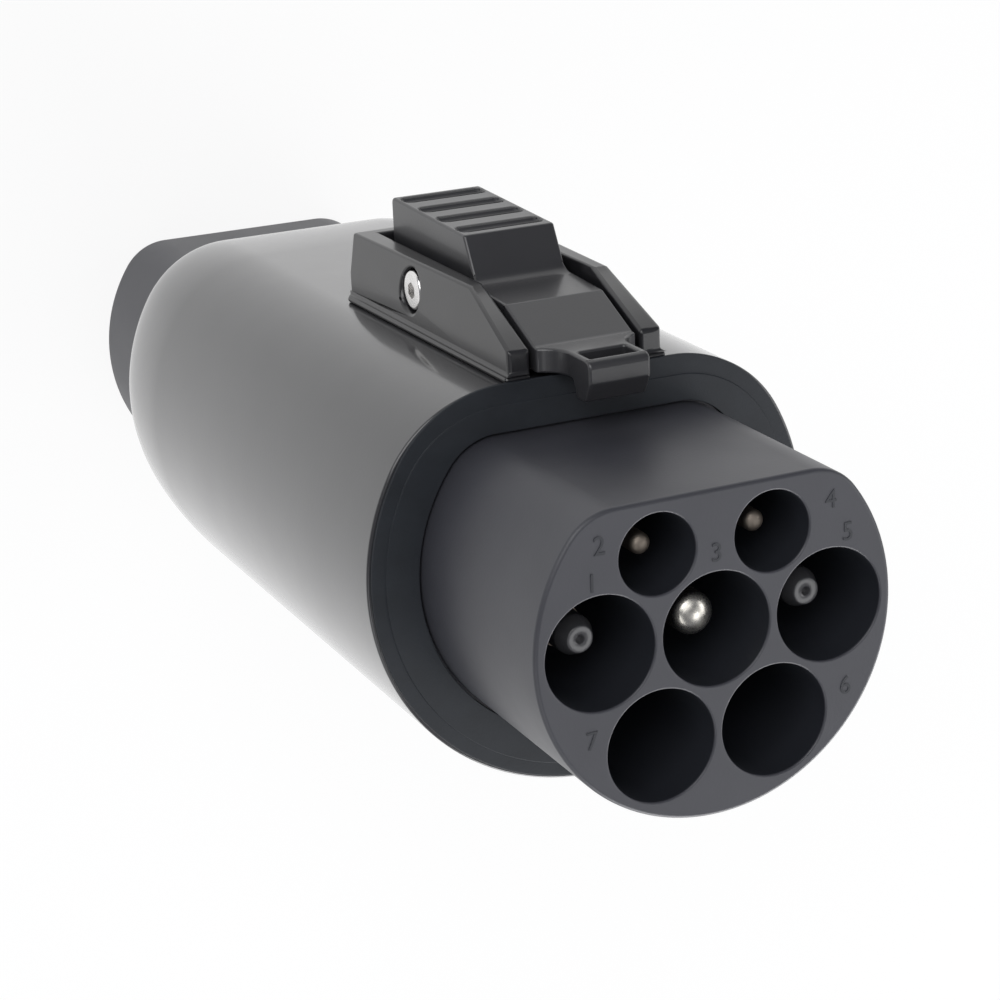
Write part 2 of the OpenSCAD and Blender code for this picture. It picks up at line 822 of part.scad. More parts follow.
module plug_retainer() color(cap_grey)
    translate([0, 0, plug_block_z]) mirror([0, 0, 1]) retainer_plate()
        plug_profile(block_inset + retainer_inset);

module socket_retainer() color(cap_grey)
    translate([0, 0, socket_block_z]) retainer_plate() socket_profile(block_inset + retainer_inset);

module plug_retainer_screws() color(steel)
    translate([0, 0, plug_block_z]) mirror([0, 0, 1]) retainer_screws();

module socket_retainer_screws() color(steel)
    translate([0, 0, socket_block_z]) retainer_screws();

// Bolts from the socket's empty cavities into inserts in the plug's block
module tie_bolts() color(steel)
    at(spare_places()) difference() {
        union() {
            between(cavity_depth, cavity_depth + tie_head_len) circle(tie_head_r);
            between(cavity_depth, plug_block_z + insert_len) circle(tie_r);
        }
        between(cavity_depth - overrun, cavity_depth + tie_head_len * screw_key_depth_share)
            circle(screw_key_r, $fn = hex_sides);
    }

module tie_inserts() color(brass)
    between(plug_block_z, plug_block_z + insert_len) at(spare_places()) difference() {
        circle(insert_r);
        circle(tie_r + pin_gap);
    }

// Pins, drawn with the nose's face at Z = 0 and the tip towards it
module pin(tip_depth, r, collar_r, barrel_r, core_r) {
    block = cavity_depth + floor_len;
    finish = block + retainer_len + barrel_len;
    difference() {
        union() {
            translate([0, 0, tip_depth]) cylinder(h = pin_chamfer, r1 = r * pin_tip_share, r2 = r);
            between(tip_depth + pin_chamfer, cavity_depth) circle(r);
            between(cavity_depth, block) circle(r + pin_root);
            between(block - collar_len, block) circle(collar_r);
            between(block, finish) circle(barrel_r);
        }
        between(finish - barrel_hole_len, finish + overrun) circle(core_r + pin_gap);
    }
}

// Pin whose tip is turned down to take an insulating cap
module capped_pin(tip_depth) {
    shoulder_depth = tip_depth + cap_len;
    difference() {
        pin(tip_depth + cap_wall_len, power_pin_r, power_collar_r, power_barrel_r, power_core_r);
        between(tip_depth, shoulder_depth) difference() {
            circle(2 * power_pin_r);
            circle(cap_spigot_r);
        }
    }
}

module tip_cap() {
    depth = power_tip_depth;
    cone_len = cap_len * cap_cone_share;
    difference() {
        union() {
            translate([0, 0, depth])
                cylinder(h = cone_len, r1 = power_pin_r * cap_tip_share, r2 = power_pin_r - cap_slim);
            between(depth + cone_len, depth + cap_len) circle(power_pin_r - cap_slim);
        }
        between(depth + cap_wall_len, depth + cap_len + overrun) circle(cap_spigot_r + pin_gap);
        between(depth - overrun, depth + cap_dimple_len) circle(cap_dimple_r);
    }
}

module in_plug(place) {
    translate([place[0], place[1], face_z]) mirror([0, 0, 1]) children();
}

module in_socket(place) {
    translate([place[0], place[1], 0]) children();
}

module power_pin(tip_depth) {
    pin(tip_depth, power_pin_r, power_collar_r, power_barrel_r, power_core_r);
}

module control_pin() {
    pin(control_tip_depth, control_pin_r, control_collar_r, control_barrel_r, control_core_r);
}

module line_tip_cap() color(cap_grey) in_plug(line_place) tip_cap();
module neutral_tip_cap() color(cap_grey) in_plug(neutral_place) tip_cap();
module plug_earth_pin() color(plated) in_plug(earth_place) power_pin(earth_tip_depth);
module plug_line_pin() color(plated) in_plug(line_place) capped_pin(power_tip_depth);
module plug_neutral_pin() color(plated) in_plug(neutral_place) capped_pin(power_tip_depth);
module plug_pilot_pin() color(plated) in_plug(pilot_place) control_pin();
module plug_proximity_pin() color(plated) in_plug(proximity_place) control_pin();
module socket_earth_pin() color(plated) in_socket(earth_place) power_pin(earth_tip_depth);
module socket_line_pin() color(plated) in_socket(line_place) power_pin(power_tip_depth);
module socket_neutral_pin() color(plated) in_socket(neutral_place) power_pin(power_tip_depth);
module socket_pilot_pin() color(plated) in_socket(pilot_place) control_pin();
module socket_proximity_pin() color(plated) in_socket(proximity_place) control_pin();

// Insulated conductor between the barrels of a plug pin and a socket pin
module conductor(place, core_r, cover_r) {
    low = socket_block_z + retainer_len + barrel_len;
    high = plug_block_z - retainer_len - barrel_len;
    translate(place) {
        between(low - barrel_hole_len, high + barrel_hole_len) circle(core_r);
        between(low + fit_gap, high - fit_gap) circle(cover_r);
    }
}

module earth_conductor() color(wire_green) conductor(earth_place, power_core_r, power_cover_r);
module line_conductor() color(wire_red) conductor(line_place, power_core_r, power_cover_r);
module neutral_conductor() color(wire_blue) conductor(neutral_place, power_core_r, power_cover_r);
module pilot_conductor() color(wire_white) conductor(pilot_place, control_core_r, control_cover_r);
module proximity_conductor() color(wire_white)
    conductor(proximity_place, control_core_r, control_cover_r);

body_shell();
latch_bracket();
bracket_screws();
plug_insulator();
socket_insulator();
front_gasket();
rear_seal();
latch_lever();
latch_pivot_screw();
latch_pivot_nut();
latch_spring();
switch_plunger();
microswitch();
switch_board();
coding_resistor();
board_screws();
plug_retainer();
socket_retainer();
plug_retainer_screws();
socket_retainer_screws();
tie_bolts();
tie_inserts();
line_tip_cap();
neutral_tip_cap();
plug_earth_pin();
plug_line_pin();
plug_neutral_pin();
plug_pilot_pin();
plug_proximity_pin();
socket_earth_pin();
socket_line_pin();
socket_neutral_pin();
socket_pilot_pin();
socket_proximity_pin();
earth_conductor();
line_conductor();
neutral_conductor();
pilot_conductor();
proximity_conductor();
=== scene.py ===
"""Handheld charging adapter: the visible pieces, their finishes and the studio around them.

Lengths are in metres in the scene. Inside the functions they are in millimetres, in the part's
own frame: +Z runs up the plug's axis to its face and the latch lies on the -Y side. "out" is the
distance from the axis towards the latch and "back" is the distance below the plug's face.
"""

import json
import math
from types import SimpleNamespace

import bpy
import numpy as np
from bpy.props import FloatProperty, FloatVectorProperty, IntProperty, PointerProperty
from mathutils import Matrix, Vector


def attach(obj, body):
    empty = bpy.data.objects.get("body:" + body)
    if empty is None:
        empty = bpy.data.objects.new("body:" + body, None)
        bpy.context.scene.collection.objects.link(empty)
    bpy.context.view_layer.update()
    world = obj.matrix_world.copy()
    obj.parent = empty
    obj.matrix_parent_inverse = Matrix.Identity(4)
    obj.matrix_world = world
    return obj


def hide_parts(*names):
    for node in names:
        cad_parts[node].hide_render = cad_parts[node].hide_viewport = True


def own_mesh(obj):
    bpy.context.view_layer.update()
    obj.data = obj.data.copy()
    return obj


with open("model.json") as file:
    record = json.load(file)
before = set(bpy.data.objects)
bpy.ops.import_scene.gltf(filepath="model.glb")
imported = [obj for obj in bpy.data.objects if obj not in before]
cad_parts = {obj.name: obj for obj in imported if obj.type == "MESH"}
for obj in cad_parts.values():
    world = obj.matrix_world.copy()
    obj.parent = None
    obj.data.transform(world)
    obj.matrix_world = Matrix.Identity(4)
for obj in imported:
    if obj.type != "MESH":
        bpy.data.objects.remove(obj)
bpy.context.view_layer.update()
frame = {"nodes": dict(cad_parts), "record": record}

bl_info = {
    "name": "Charging Adapter",
    "version": (1, 0, 0),
    "blender": (4, 5, 0),
    "location": "View3D > Sidebar > Adapter",
    "description": "Builds the visible pieces of a handheld charging adapter",
    "category": "Add Mesh",
}

MM = 0.001
# Angle in degrees beyond which an edge stays sharp
SHARP_ANGLE = 35
# Height of the step in the body that the plug's flange rests on, and a flange's thickness
PLUG_SEAT_Z, FLANGE = 138.95, 3.4
# Gap between a flange and the body's wall
FLANGE_GAP = 0.1
# Distance that the contact blocks go on behind the cavities' floors, and their inset
BLOCK_TAIL, BLOCK_INSET = 14, 3.3
# Distance of the spring's axis behind the pivot, and of the plunger's in front of it
SPRING_ARM, PLUNGER_ARM = 11.2, 5.2
# Radius of the spring's seat, and of the bore that the pivot screw turns in
SPRING_SEAT_R, PIVOT_BORE_R = 3.45, 2.05
# Places of the control contacts: to each side of the axis, and towards the latch
CONTROL_SIDE, CONTROL_OUT = 8.55, 12.06
# Radii of the pins' holes in the floors of the power and control cavities
POWER_HOLE, CONTROL_HOLE = 3.45, 1.95
# Radius of the pocket for the pin's collar, by the radius of its hole
COLLAR_POCKET = {POWER_HOLE: 5.1, CONTROL_HOLE: 2.6}
# Colours of the finishes that hardly show: the contacts' plating darkened as painted shade, and
# brass
SHADED_CONTACT, BRASS = (0.30, 0.26, 0.22), (0.78, 0.58, 0.25)
# Distance of each lamp from the point that it lights
LAMP_REACH = 1.3


def length(name, description, value):
    """A length property whose default is given in millimetres."""
    return FloatProperty(name=name, description=description, default=value * MM, unit="LENGTH",
                         precision=5)


def colour(name, description, value):
    """A colour property."""
    return FloatVectorProperty(name=name, description=description, default=value,
                               subtype="COLOR", size=3, min=0, max=1)


def share(name, description, value):
    """A property between 0 and 1."""
    return FloatProperty(name=name, description=description, default=value, subtype="FACTOR",
                         min=0, max=1)


class AdapterSizes(bpy.types.PropertyGroup):
    """Main sizes, as in the part's source."""
    body_r: length("Body radius", "Radius of the body's round side", 34.9)
    body_flat: length("Body flat", "Distance of the body's flat side from the axis", 26.5)
    body_corner: length("Body corner", "Corner radius beside the body's flat", 18.9)
    body_foot_z: length("Shoulder top", "Height where the shoulder begins", 50.95)
    body_front_z: length("Body front", "Height of the body's front rim", 142.95)
    wall: length("Wall", "Wall of the body", 2.5)
    shoulder_len: length("Shoulder length", "Length of the rounded shoulder", 20.3)
    shoulder_inset: length("Shoulder inset", "How far the shoulder draws the round side in", 2.2)
    shoulder_flat_inset: length("Flat inset", "How far the shoulder draws the flat in", 1.6)
    plug_r: length("Plug radius", "Radius of the plug nose", 26.8)
    plug_flat: length("Plug flat", "Distance of the plug nose's flat from the axis", 19.55)
    plug_corner: length("Plug corner", "Corner radius of the plug nose", 8.6)
    face_z: length("Face height", "Height of the plug's face", 179.05)
    socket_r: length("Socket radius", "Radius of the socket nose", 27.1)
    socket_flat: length("Socket flat", "Distance of the socket nose's flat from the axis", 19.3)
    socket_corner: length("Socket corner", "Corner radius of the socket nose", 9.1)
    nose_round: length("Nose edge", "Radius of the noses' end edges", 0.6)
    pitch: length("Pitch", "Distance from the earth cavity to each other power cavity", 17.2)
    power_cavity_r: length("Power cavity", "Radius of a power cavity", 8)
    control_cavity_r: length("Control cavity", "Radius of a control cavity", 5.65)
    cavity_depth: length("Cavity depth", "Depth of the cavities", 36)
    mouth_round: length("Mouth edge", "Radius of the edge of a cavity's mouth", 0.3)
    pivot_back: length("Pivot back", "Distance of the pivot behind the plug's face", 69.5)
    pivot_out: length("Pivot out", "Distance of the pivot from the axis", 32.7)
    slot_half: length("Slot half", "Half width of the slot between the cheeks", 8.6)
    cheek_rise: length("Cheek rise", "Height of the cheeks above the flat", 10.7)
    lever_half: length("Lever half", "Half width of the lever", 7.8)
    button_half: length("Button half", "Half width of the button", 7.3)
    hook_half: length("Hook half", "Half width of the hook", 4.7)
    edge: length("Moulded edge", "Radius of the moulded edges", 0.35)
    digit_height: length("Digit height", "Height of the digits beside the cavities", 2.6)
    digit_relief: length("Digit relief", "How far the digits stand above the face", 0.08)
    grooves: IntProperty(name="Grooves", description="Grip grooves across the button",
                         default=4, min=1, max=6)


class AdapterFinishes(bpy.types.PropertyGroup):
    """Colours and roughness of the visible finishes."""
    body_colour: colour("Body", "Glossy moulded body", (0.028, 0.028, 0.031))
    nose_colour: colour("Noses", "Matt moulded noses", (0.044, 0.045, 0.054))
    # Half the body's colour: the bracket is the body's plastic, darkened as painted shade
    bracket_colour: colour("Bracket", "Glossy latch bracket", (0.014, 0.014, 0.016))
    latch_colour: colour("Latch", "Satin lever", (0.030, 0.030, 0.033))
    gasket_colour: colour("Gasket", "Matt rubber", (0.017, 0.020, 0.025))
    # Darker than the noses: painted shade for the cavities' walls and floors and for the digits
    cavity_colour: colour("Cavity", "Dark walls of the cavities", (0.020, 0.022, 0.028))
    cap_colour: colour("Caps", "Grey insulating caps", (0.07, 0.07, 0.075))
    steel_colour: colour("Steel", "Screw and nut", (0.80, 0.79, 0.78))
    plated_colour: colour("Contacts", "Silver-plated contacts", (0.80, 0.77, 0.70))
    body_roughness: share("Body roughness", "Roughness of the body's skin", 0.3)
    nose_roughness: share("Nose roughness", "Roughness of the noses' matt skin", 0.42)
    latch_roughness: share("Latch roughness", "Roughness of the lever's skin", 0.36)


def sizes(context):
    """The size properties in millimetres."""
    group = context.scene.adapter_sizes
    found = {}
    for name, prop in group.bl_rna.properties.items():
        if prop.type == "FLOAT":
            found[name] = getattr(group, name) / MM
        elif prop.type == "INT":
            found[name] = getattr(group, name)
    return SimpleNamespace(**found)


# Shapes: each is (points in millimetres, faces), with its faces outwards

def joined(*shapes):
    """Several shapes as one: their points in a row, and their faces with shifted numbers."""
    points, faces, first = [], [], 0
    for p, f in shapes:
        points.append(p)
        faces += [[int(i) + first for i in face] for face in f]
        first += len(p)
    return np.concatenate(points), faces


def skin(rings, wrap=False):
    """Surface over a grid of points, rows by columns: column j runs round ring i, and each face
    joins (i, j), (i, j+1), (i+1, j+1), (i+1, j). The rings are counter-clockwise seen from where
    the rows lead. The end rings are closed by a face each, or joined to each other."""
    rows, cols = rings.shape[:2]
    i, j = np.meshgrid(np.arange(rows if wrap else rows - 1), np.arange(cols), indexing="ij")
    n, k = (i + 1) % rows, (j + 1) % cols
    quads = np.stack([i * cols + j, i * cols + k, n * cols + k, n * cols + j], -1)
    faces = quads.reshape(-1, 4).tolist()
    if not wrap:
        faces.append(list(range(cols))[::-1])
        faces.append(list(range((rows - 1) * cols, rows * cols)))
    return rings.reshape(-1, 3), faces


def turned(profile, centre, axis, count=64):
    """Lathe: radius r at height h along the axis, (r cos a, r sin a, h) for a round the turn.
    The profile's rows run along the axis."""
    w = np.array(axis, float)
    u = np.cross(w, [0, 0, 1.0] if abs(w[2]) < 0.9 else [0, 1.0, 0])
    u /= np.linalg.norm(u)
    v = np.cross(w, u)
    a = np.linspace(0, 2 * np.pi, count, endpoint=False)
    r, h = np.array(profile, float).T[:, :, None, None]
    wheel = np.cos(a)[:, None] * u + np.sin(a)[:, None] * v
    return skin(np.array(centre, float) + r * wheel + h * w)


def prism(outline, origin, u, v, low, high):
    """Outline (a, b) carried from low to high: origin + a u + b v + c (u x v)."""
    outline = np.array(outline, float)
    u, v = np.array(u, float), np.array(v, float)
    x, y = outline.T
    if np.sum(x * np.roll(y, -1) - y * np.roll(x, -1)) < 0:
        outline = outline[::-1]
    flat = np.array(origin, float) + outline[:, :1] * u + outline[:, 1:] * v
    w = np.cross(u, v)
    return skin(np.stack([flat + low * w, flat + high * w]))


def outward(shape):
    """The shape with its faces turned round if its volume comes out below zero."""
    points, faces = shape
    volume = sum(points[f[0]] @ np.cross(points[f[i]], points[f[i + 1]])
                 for f in faces for i in range(1, len(f) - 1))
    return shape if volume > 0 else (points, [f[::-1] for f in faces])


def rounded(corners, radii, count=6):
    """Outline whose corner i is rounded to radius radii[i]: an arc that touches both of the
    corner's sides, at r / tan(half the corner's angle) from the corner."""
    corners = np.array(corners, float)
    out = []
    for p, before, after, r in zip(corners, np.roll(corners, 1, 0), np.roll(corners, -1, 0), radii):
        if r <= 0:
            out.append(p[None])
            continue
        a, b = before - p, after - p
        a, b = a / np.linalg.norm(a), b / np.linalg.norm(b)
        half = math.acos(np.clip(a @ b, -1, 1)) / 2
        middle = (a + b) / np.linalg.norm(a + b)
        centre = p + middle * r / math.sin(half)
        start, end = p + a * r / math.tan(half) - centre, p + b * r / math.tan(half) - centre
        turn = math.atan2(start[0] * end[1] - start[1] * end[0], start @ end)
        t = np.linspace(0, turn, count + 1)[:, None]
        side = np.array([-start[1], start[0]])
        out.append(centre + np.cos(t) * start + np.sin(t) * side)
    return np.concatenate(out)


def arc(centre, r, start, end, count):
    """Points on a circle from one angle to another, in degrees."""
    t = np.radians(np.linspace(start, end, count))
    return np.stack([centre[0] + r * np.cos(t), centre[1] + r * np.sin(t)], 1)


def d_rings(rows):
    """D-shaped rings. Each row is (r, flat, corner, z): a circle of radius r, cut by a flat at
    y = -flat whose corners are rounded to radius corner. The corner circles have their centres
    at y = corner - flat and at x = +-sqrt((r - corner)^2 - (flat - corner)^2)."""
    r, flat, corner, z = (c[:, None] for c in np.array(rows, float).T)
    drop = flat - corner
    side = np.sqrt((r - corner) ** 2 - drop ** 2)
    turn = np.arctan2(drop, side)
    main = np.linspace(0, 1, 120, endpoint=False)
    bend = np.linspace(0, 1, 20, endpoint=False)
    line = np.linspace(-1, 1, 12, endpoint=False)
    t = -turn + main * (np.pi + 2 * turn)
    left = np.pi + turn + bend * (np.pi / 2 - turn)
    right = -np.pi / 2 + bend * (np.pi / 2 - turn)
    x = np.concatenate([r * np.cos(t), -side + corner * np.cos(left), side * line,
                        side + corner * np.cos(right)], 1)
    y = np.concatenate([r * np.sin(t), -drop + corner * np.sin(left), -flat + 0 * line,
                        -drop + corner * np.sin(right)], 1)
    return np.stack([x, y, z + 0 * x], -1)


def inset_rows(r, flat, corner, path):
    """Rows for d_rings from a path of (inset, z)."""
    return [(r - i, flat - i, corner - i, z) for i, z in path]


def edge_arc(inset, z, r, way, count=6):
    """Rounded edge between a side and an end: from (inset, z - way r) to (inset + r, z)."""
    t = np.linspace(0, np.pi / 2, count)
    return [(inset + r - r * math.cos(a), z - way * r + way * r * math.sin(a)) for a in t]


# Objects

def make(name, *shapes):
    """An object from shapes in millimetres, shaded smooth but for its sharp edges."""
    points, faces = joined(*shapes)
    mesh = bpy.data.meshes.new(name)
    mesh.from_pydata((points * MM).tolist(), [], faces)
    mesh.validate()
    obj = bpy.data.objects.new(name, mesh)
    bpy.context.scene.collection.objects.link(obj)
    shade(mesh)
    return obj


def shade(mesh):
    """Smooth faces, with the sharp edges kept."""
    mesh.polygons.foreach_set("use_smooth", np.ones(len(mesh.polygons), bool))
    mesh.set_sharp_from_angle(angle=math.radians(SHARP_ANGLE))
    mesh.update()


def combine(obj, operation, *shapes):
    """Applies a boolean with each shape in turn."""
    for shape in shapes:
        tool = make("tool", shape)
        step = obj.modifiers.new("step", "BOOLEAN")
        step.solver, step.operation, step.object = "EXACT", operation, tool
        result = bpy.data.meshes.new_from_object(
            obj.evaluated_get(bpy.context.evaluated_depsgraph_get()))
        obj.modifiers.remove(step)
        old, obj.data = obj.data, result
        result.name = obj.name
        bpy.data.meshes.remove(old)
        bpy.data.objects.remove(tool)
    if not len(obj.data.polygons):
        raise RuntimeError(f"{obj.name} came out empty")
    shade(obj.data)


def finish(obj, body, nodes, materials, bevel=0.0):
    """Edges, even shading, materials and place in the frame: the body that the piece rides on
    and the solids that it stands for."""
    if bevel:
        step = obj.modifiers.new("Moulded edges", "BEVEL")
        step.width, step.segments, step.limit_method = bevel * MM, 3, "ANGLE"
        step.angle_limit = math.radians(SHARP_ANGLE)
        step.use_clamp_overlap = False
        step.harden_normals = False
    even = obj.modifiers.new("Even shading", "WEIGHTED_NORMAL")
    even.keep_sharp, even.weight = True, 100
    obj.data.materials.clear()
    for material in materials:
        obj.data.materials.append(material)
    if nodes:
        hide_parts(*nodes)
    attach(obj, body)


def paint(obj, index, inside):
    """Gives the faces whose centres (in millimetres) pass the test the material of that slot."""
    centres = np.empty(len(obj.data.polygons) * 3)
    obj.data.polygons.foreach_get("center", centres)
    chosen = inside(centres.reshape(-1, 3) / MM)
    old = np.empty(len(chosen), np.int32)
    obj.data.polygons.foreach_get("material_index", old)
    obj.data.polygons.foreach_set("material_index", np.where(chosen, index, old))


# Finishes

class Nodes:
    """Short calls for a material's node tree."""

    def __init__(self, name):
        known = bpy.data.materials.get(name)
        self.material = known or bpy.data.materials.new(name)
        self.material.use_nodes = True
        self.tree = self.material.node_tree
        self.tree.nodes.clear()
        self.shader = self.add("BsdfPrincipled")
        output = self.add("OutputMaterial")
        self.link(self.shader, "BSDF", output, "Surface")
        self.place = self.add("TexCoord")

    def add(self, kind, **settings):
        node = self.tree.nodes.new("ShaderNode" + kind)
        for key, value in settings.items():
            if key in node.inputs:
                node.inputs[key].default_value = value
            else:
                setattr(node, key, value)
        return node

    def link(self, a, out, b, into):
        self.tree.links.new(a.outputs[out], b.inputs[into])

    def noise(self, scale, detail=3, roughness=0.55, stretch=None):
        """Noise on the object's own coordinates, stretched if asked."""
        node = self.add("TexNoise", Scale=scale, Detail=detail, Roughness=roughness)
        if stretch:
            mapping = self.add("Mapping", Scale=stretch)
            self.link(self.place, "Object", mapping, "Vector")
            self.link(mapping, "Vector", node, "Vector")
        else:
            self.link(self.place, "Object", node, "Vector")
        return node

    def spread(self, node, low, high):
        """The noise's value carried from 0.3-0.7 to low-high."""
        ranged = self.add("MapRange", **{"From Min": 0.3, "From Max": 0.7, "To Min": low,
                                         "To Max": high})
        self.link(node, "Fac", ranged, "Value")
        return ranged

    def bump(self, node, depth):
        """Fine relief of that depth in millimetres on the shader."""
        bumped = self.add("Bump", Strength=1.0, Distance=depth * MM)
        self.link(node, "Fac", bumped, "Height")
        self.link(bumped, "Normal", self.shader, "Normal")

    def mottle(self, tone, variation, scale):
        """Colour that varies a little about a tone, in soft clouds."""
        cloud = self.noise(scale)
        mix = self.add("MixRGB", blend_type="MIX")
        dark = [c * (1 - variation) for c in tone]
        light = [min(c * (1 + variation), 1) for c in tone]
        mix.inputs["Color1"].default_value = (*dark, 1)
        mix.inputs["Color2"].default_value = (*light, 1)
        ranged = self.spread(cloud, 0, 1)
        self.link(ranged, "Result", mix, "Fac")
        self.link(mix, "Color", self.shader, "Base Color")


def plastic(name, tone, roughness, grain, depth, coat=0.0, index=1.5):
    """Moulded plastic: fine spark-eroded grain, faint clouds in the colour and in the gloss, and
    a smooth pressed skin over them where it is polished."""
    n = Nodes(name)
    n.mottle(tone, 0.05, 90)
    gloss = n.spread(n.noise(70, 4), roughness * (1 - 0.06), roughness * (1 + 0.06))
    n.link(gloss, "Result", n.shader, "Roughness")
    n.shader.inputs["IOR"].default_value = index
    n.shader.inputs["Coat Weight"].default_value = coat
    n.shader.inputs["Coat IOR"].default_value = index
    n.shader.inputs["Coat Roughness"].default_value = 0.12
    n.bump(n.noise(grain, 2, 0.5), depth)
    return n.material


def rubber(name, tone):
    """Matt rubber with a soft sheen and a fine grain."""
    n = Nodes(name)
    n.mottle(tone, 0.12, 160)
    n.shader.inputs["Roughness"].default_value = 0.55
    n.shader.inputs["Specular IOR Level"].default_value = 0.35
    n.bump(n.noise(2600, 3), 0.02)
    return n.material


def metal(name, tone, roughness, stretch):
    """Turned metal: fine marks round or along the piece and a slight change of gloss."""
    n = Nodes(name)
    n.mottle(tone, 0.06, 300)
    n.shader.inputs["Metallic"].default_value = 1.0
    marks = n.noise(900, 3, 0.6, stretch)
    gloss = n.spread(marks, roughness * 0.8, roughness * 1.25)
    n.link(gloss, "Result", n.shader, "Roughness")
    n.bump(marks, 0.004)
    return n.material


def board_lacquer(name, tone):
    """Lacquered laminate with a woven glass texture."""
    n = Nodes(name)
    n.mottle(tone, 0.15, 120)
    weave = n.add("TexWave", Scale=420.0, Distortion=1.0)
    n.link(n.place, "Object", weave, "Vector")
    n.bump(weave, 0.01)
    n.shader.inputs["Roughness"].default_value = 0.3
    return n.material


def finishes(context):
    """Every material of the adapter, by its slot in the record."""
    f = context.scene.adapter_finishes
    tone = {key: tuple(getattr(f, key)) for key in (
        "body_colour", "nose_colour", "bracket_colour", "latch_colour", "gasket_colour",
        "cavity_colour", "cap_colour", "steel_colour", "plated_colour")}
    return {
        "body_plastic": plastic("body_plastic", tone["body_colour"], f.body_roughness, 2200, 0.006,
                                coat=1.0, index=1.4),
        # The body's plastic darkened for the bracket: painted shade
        "bracket_shade_plastic": plastic("bracket_shade_plastic", tone["bracket_colour"], f.body_roughness,
                                   2200, 0.006, coat=0.25),
        "nose_plastic": plastic("nose_plastic", tone["nose_colour"], f.nose_roughness, 2600, 0.012),
        # The noses' plastic darkened: painted shade in the cavities and on the digits
        "painted_shade_plastic": plastic("painted_shade_plastic", tone["cavity_colour"], 0.42, 2600, 0.008),
        "latch_plastic": plastic("latch_plastic", tone["latch_colour"], f.latch_roughness, 2400,
                                 0.010, coat=0.3),
        "gasket_rubber": rubber("gasket_rubber", tone["gasket_colour"]),
        "cap_plastic": plastic("cap_plastic", tone["cap_colour"], 0.35, 2600, 0.006, coat=0.6),
        "stainless": metal("stainless", tone["steel_colour"], 0.24, (1, 6, 6)),
        "spring_steel": metal("spring_steel", tone["steel_colour"], 0.3, (4, 1, 4)),
        "plated_contact": metal("plated_contact", tone["plated_colour"], 0.27, (1, 1, 8)),
        # The plating darkened and roughened: the darkening is painted shade
        "shaded_contact": metal("shaded_contact", SHADED_CONTACT, 0.5, (1, 1, 8)),
        "insert_brass": metal("insert_brass", BRASS, 0.25, (1, 1, 8)),
        "switch_plastic": plastic("switch_plastic", (0.02, 0.02, 0.022), 0.4, 2400, 0.006),
        "retainer_plastic": plastic("retainer_plastic", (0.16, 0.16, 0.17), 0.45, 2400, 0.008),
        "board": board_lacquer("board", (0.02, 0.12, 0.05)),
        "resistor": plastic("resistor", (0.06, 0.16, 0.32), 0.25, 900, 0.01),
        "earth_cover": plastic("earth_cover", (0.10, 0.30, 0.06), 0.4, 1500, 0.01),
        "line_cover": plastic("line_cover", (0.30, 0.05, 0.04), 0.4, 1500, 0.01),
        "neutral_cover": plastic("neutral_cover", (0.04, 0.10, 0.32), 0.4, 1500, 0.01),
        "signal_cover": plastic("signal_cover", (0.62, 0.62, 0.59), 0.4, 1500, 0.01),
    }


class ADAPTER_OT_finishes(bpy.types.Operator):
    """Make every material and give each carried-over solid its own"""
    bl_idname = "adapter.finishes"
    bl_label = "Finishes"

    def execute(self, context):
        made = finishes(context)
        for part in frame["record"]["subparts"]:
            node = frame["nodes"][part["node"]]
            node.data.materials.clear()
            node.data.materials.append(made[part["material_slot"]])
        return {"FINISHED"}


def finish_of(name):
    """A material made by the finishes operator."""
    found = bpy.data.materials.get(name)
    if found is None:
        raise RuntimeError(f"make the finishes before the pieces: {name} is missing")
    return found


def cavity_places(s):
    """(x, y, radius, radius of the pin's hole or 0 where no pin stands) of the cavities."""
    side, across = s.pitch / 2, s.pitch * math.sin(math.radians(60))
    power, control = s.power_cavity_r, s.control_cavity_r
    return [(0, 0, power, POWER_HOLE), (s.pitch, 0, power, POWER_HOLE),
            (-s.pitch, 0, power, POWER_HOLE),
            (side, across, power, 0), (-side, across, power, 0),
            (CONTROL_SIDE, -CONTROL_OUT, control, CONTROL_HOLE),
            (-CONTROL_SIDE, -CONTROL_OUT, control, CONTROL_HOLE)]


def cavity_cutters(s, face, way, spare):
    """Lathe tools for the cavities of a nose whose face is at that height and looks up (way 1)
    or down (way -1): the mouth flares in a quarter circle, the wall runs straight to the floor,
    and a hole goes on through it, for the pin or for the tie bolt. The bolt's hole is given as
    spare, (radius, distance below the floor)."""
    flare = s.mouth_round
    t = np.linspace(0, np.pi / 2, 5)
    tools = []
    for x, y, r, pin in cavity_places(s):
        deep = s.cavity_depth
        mouth = [(r + flare * (1 - math.sin(a)), flare * (1 - math.cos(a))) for a in t]
        if pin:
            pocket = COLLAR_POCKET[pin]
            tail = [(pin, deep), (pin, deep + 11), (pocket, deep + 11), (pocket, deep + 15)]
        else:
            tail = [(radius, deep + below) for radius, below in spare]
        rows = [(r + flare, -1)] + mouth + [(r, deep)] + tail
        tools.append(turned(rows, (x, y, face), (0, 0, -way), 96))
    return joined(*tools)


def in_cavity(s, face):
    """Test for points on the walls and floors of the cavities of a nose, which get the painted
    shade.
    """
    def inside(c):
        near = np.zeros(len(c), bool)
        for x, y, r, _ in cavity_places(s):
            near |= np.hypot(c[:, 0] - x, c[:, 1] - y) < r + 0.05
        return near & (abs(c[:, 2] - face) > 0.4)
    return inside


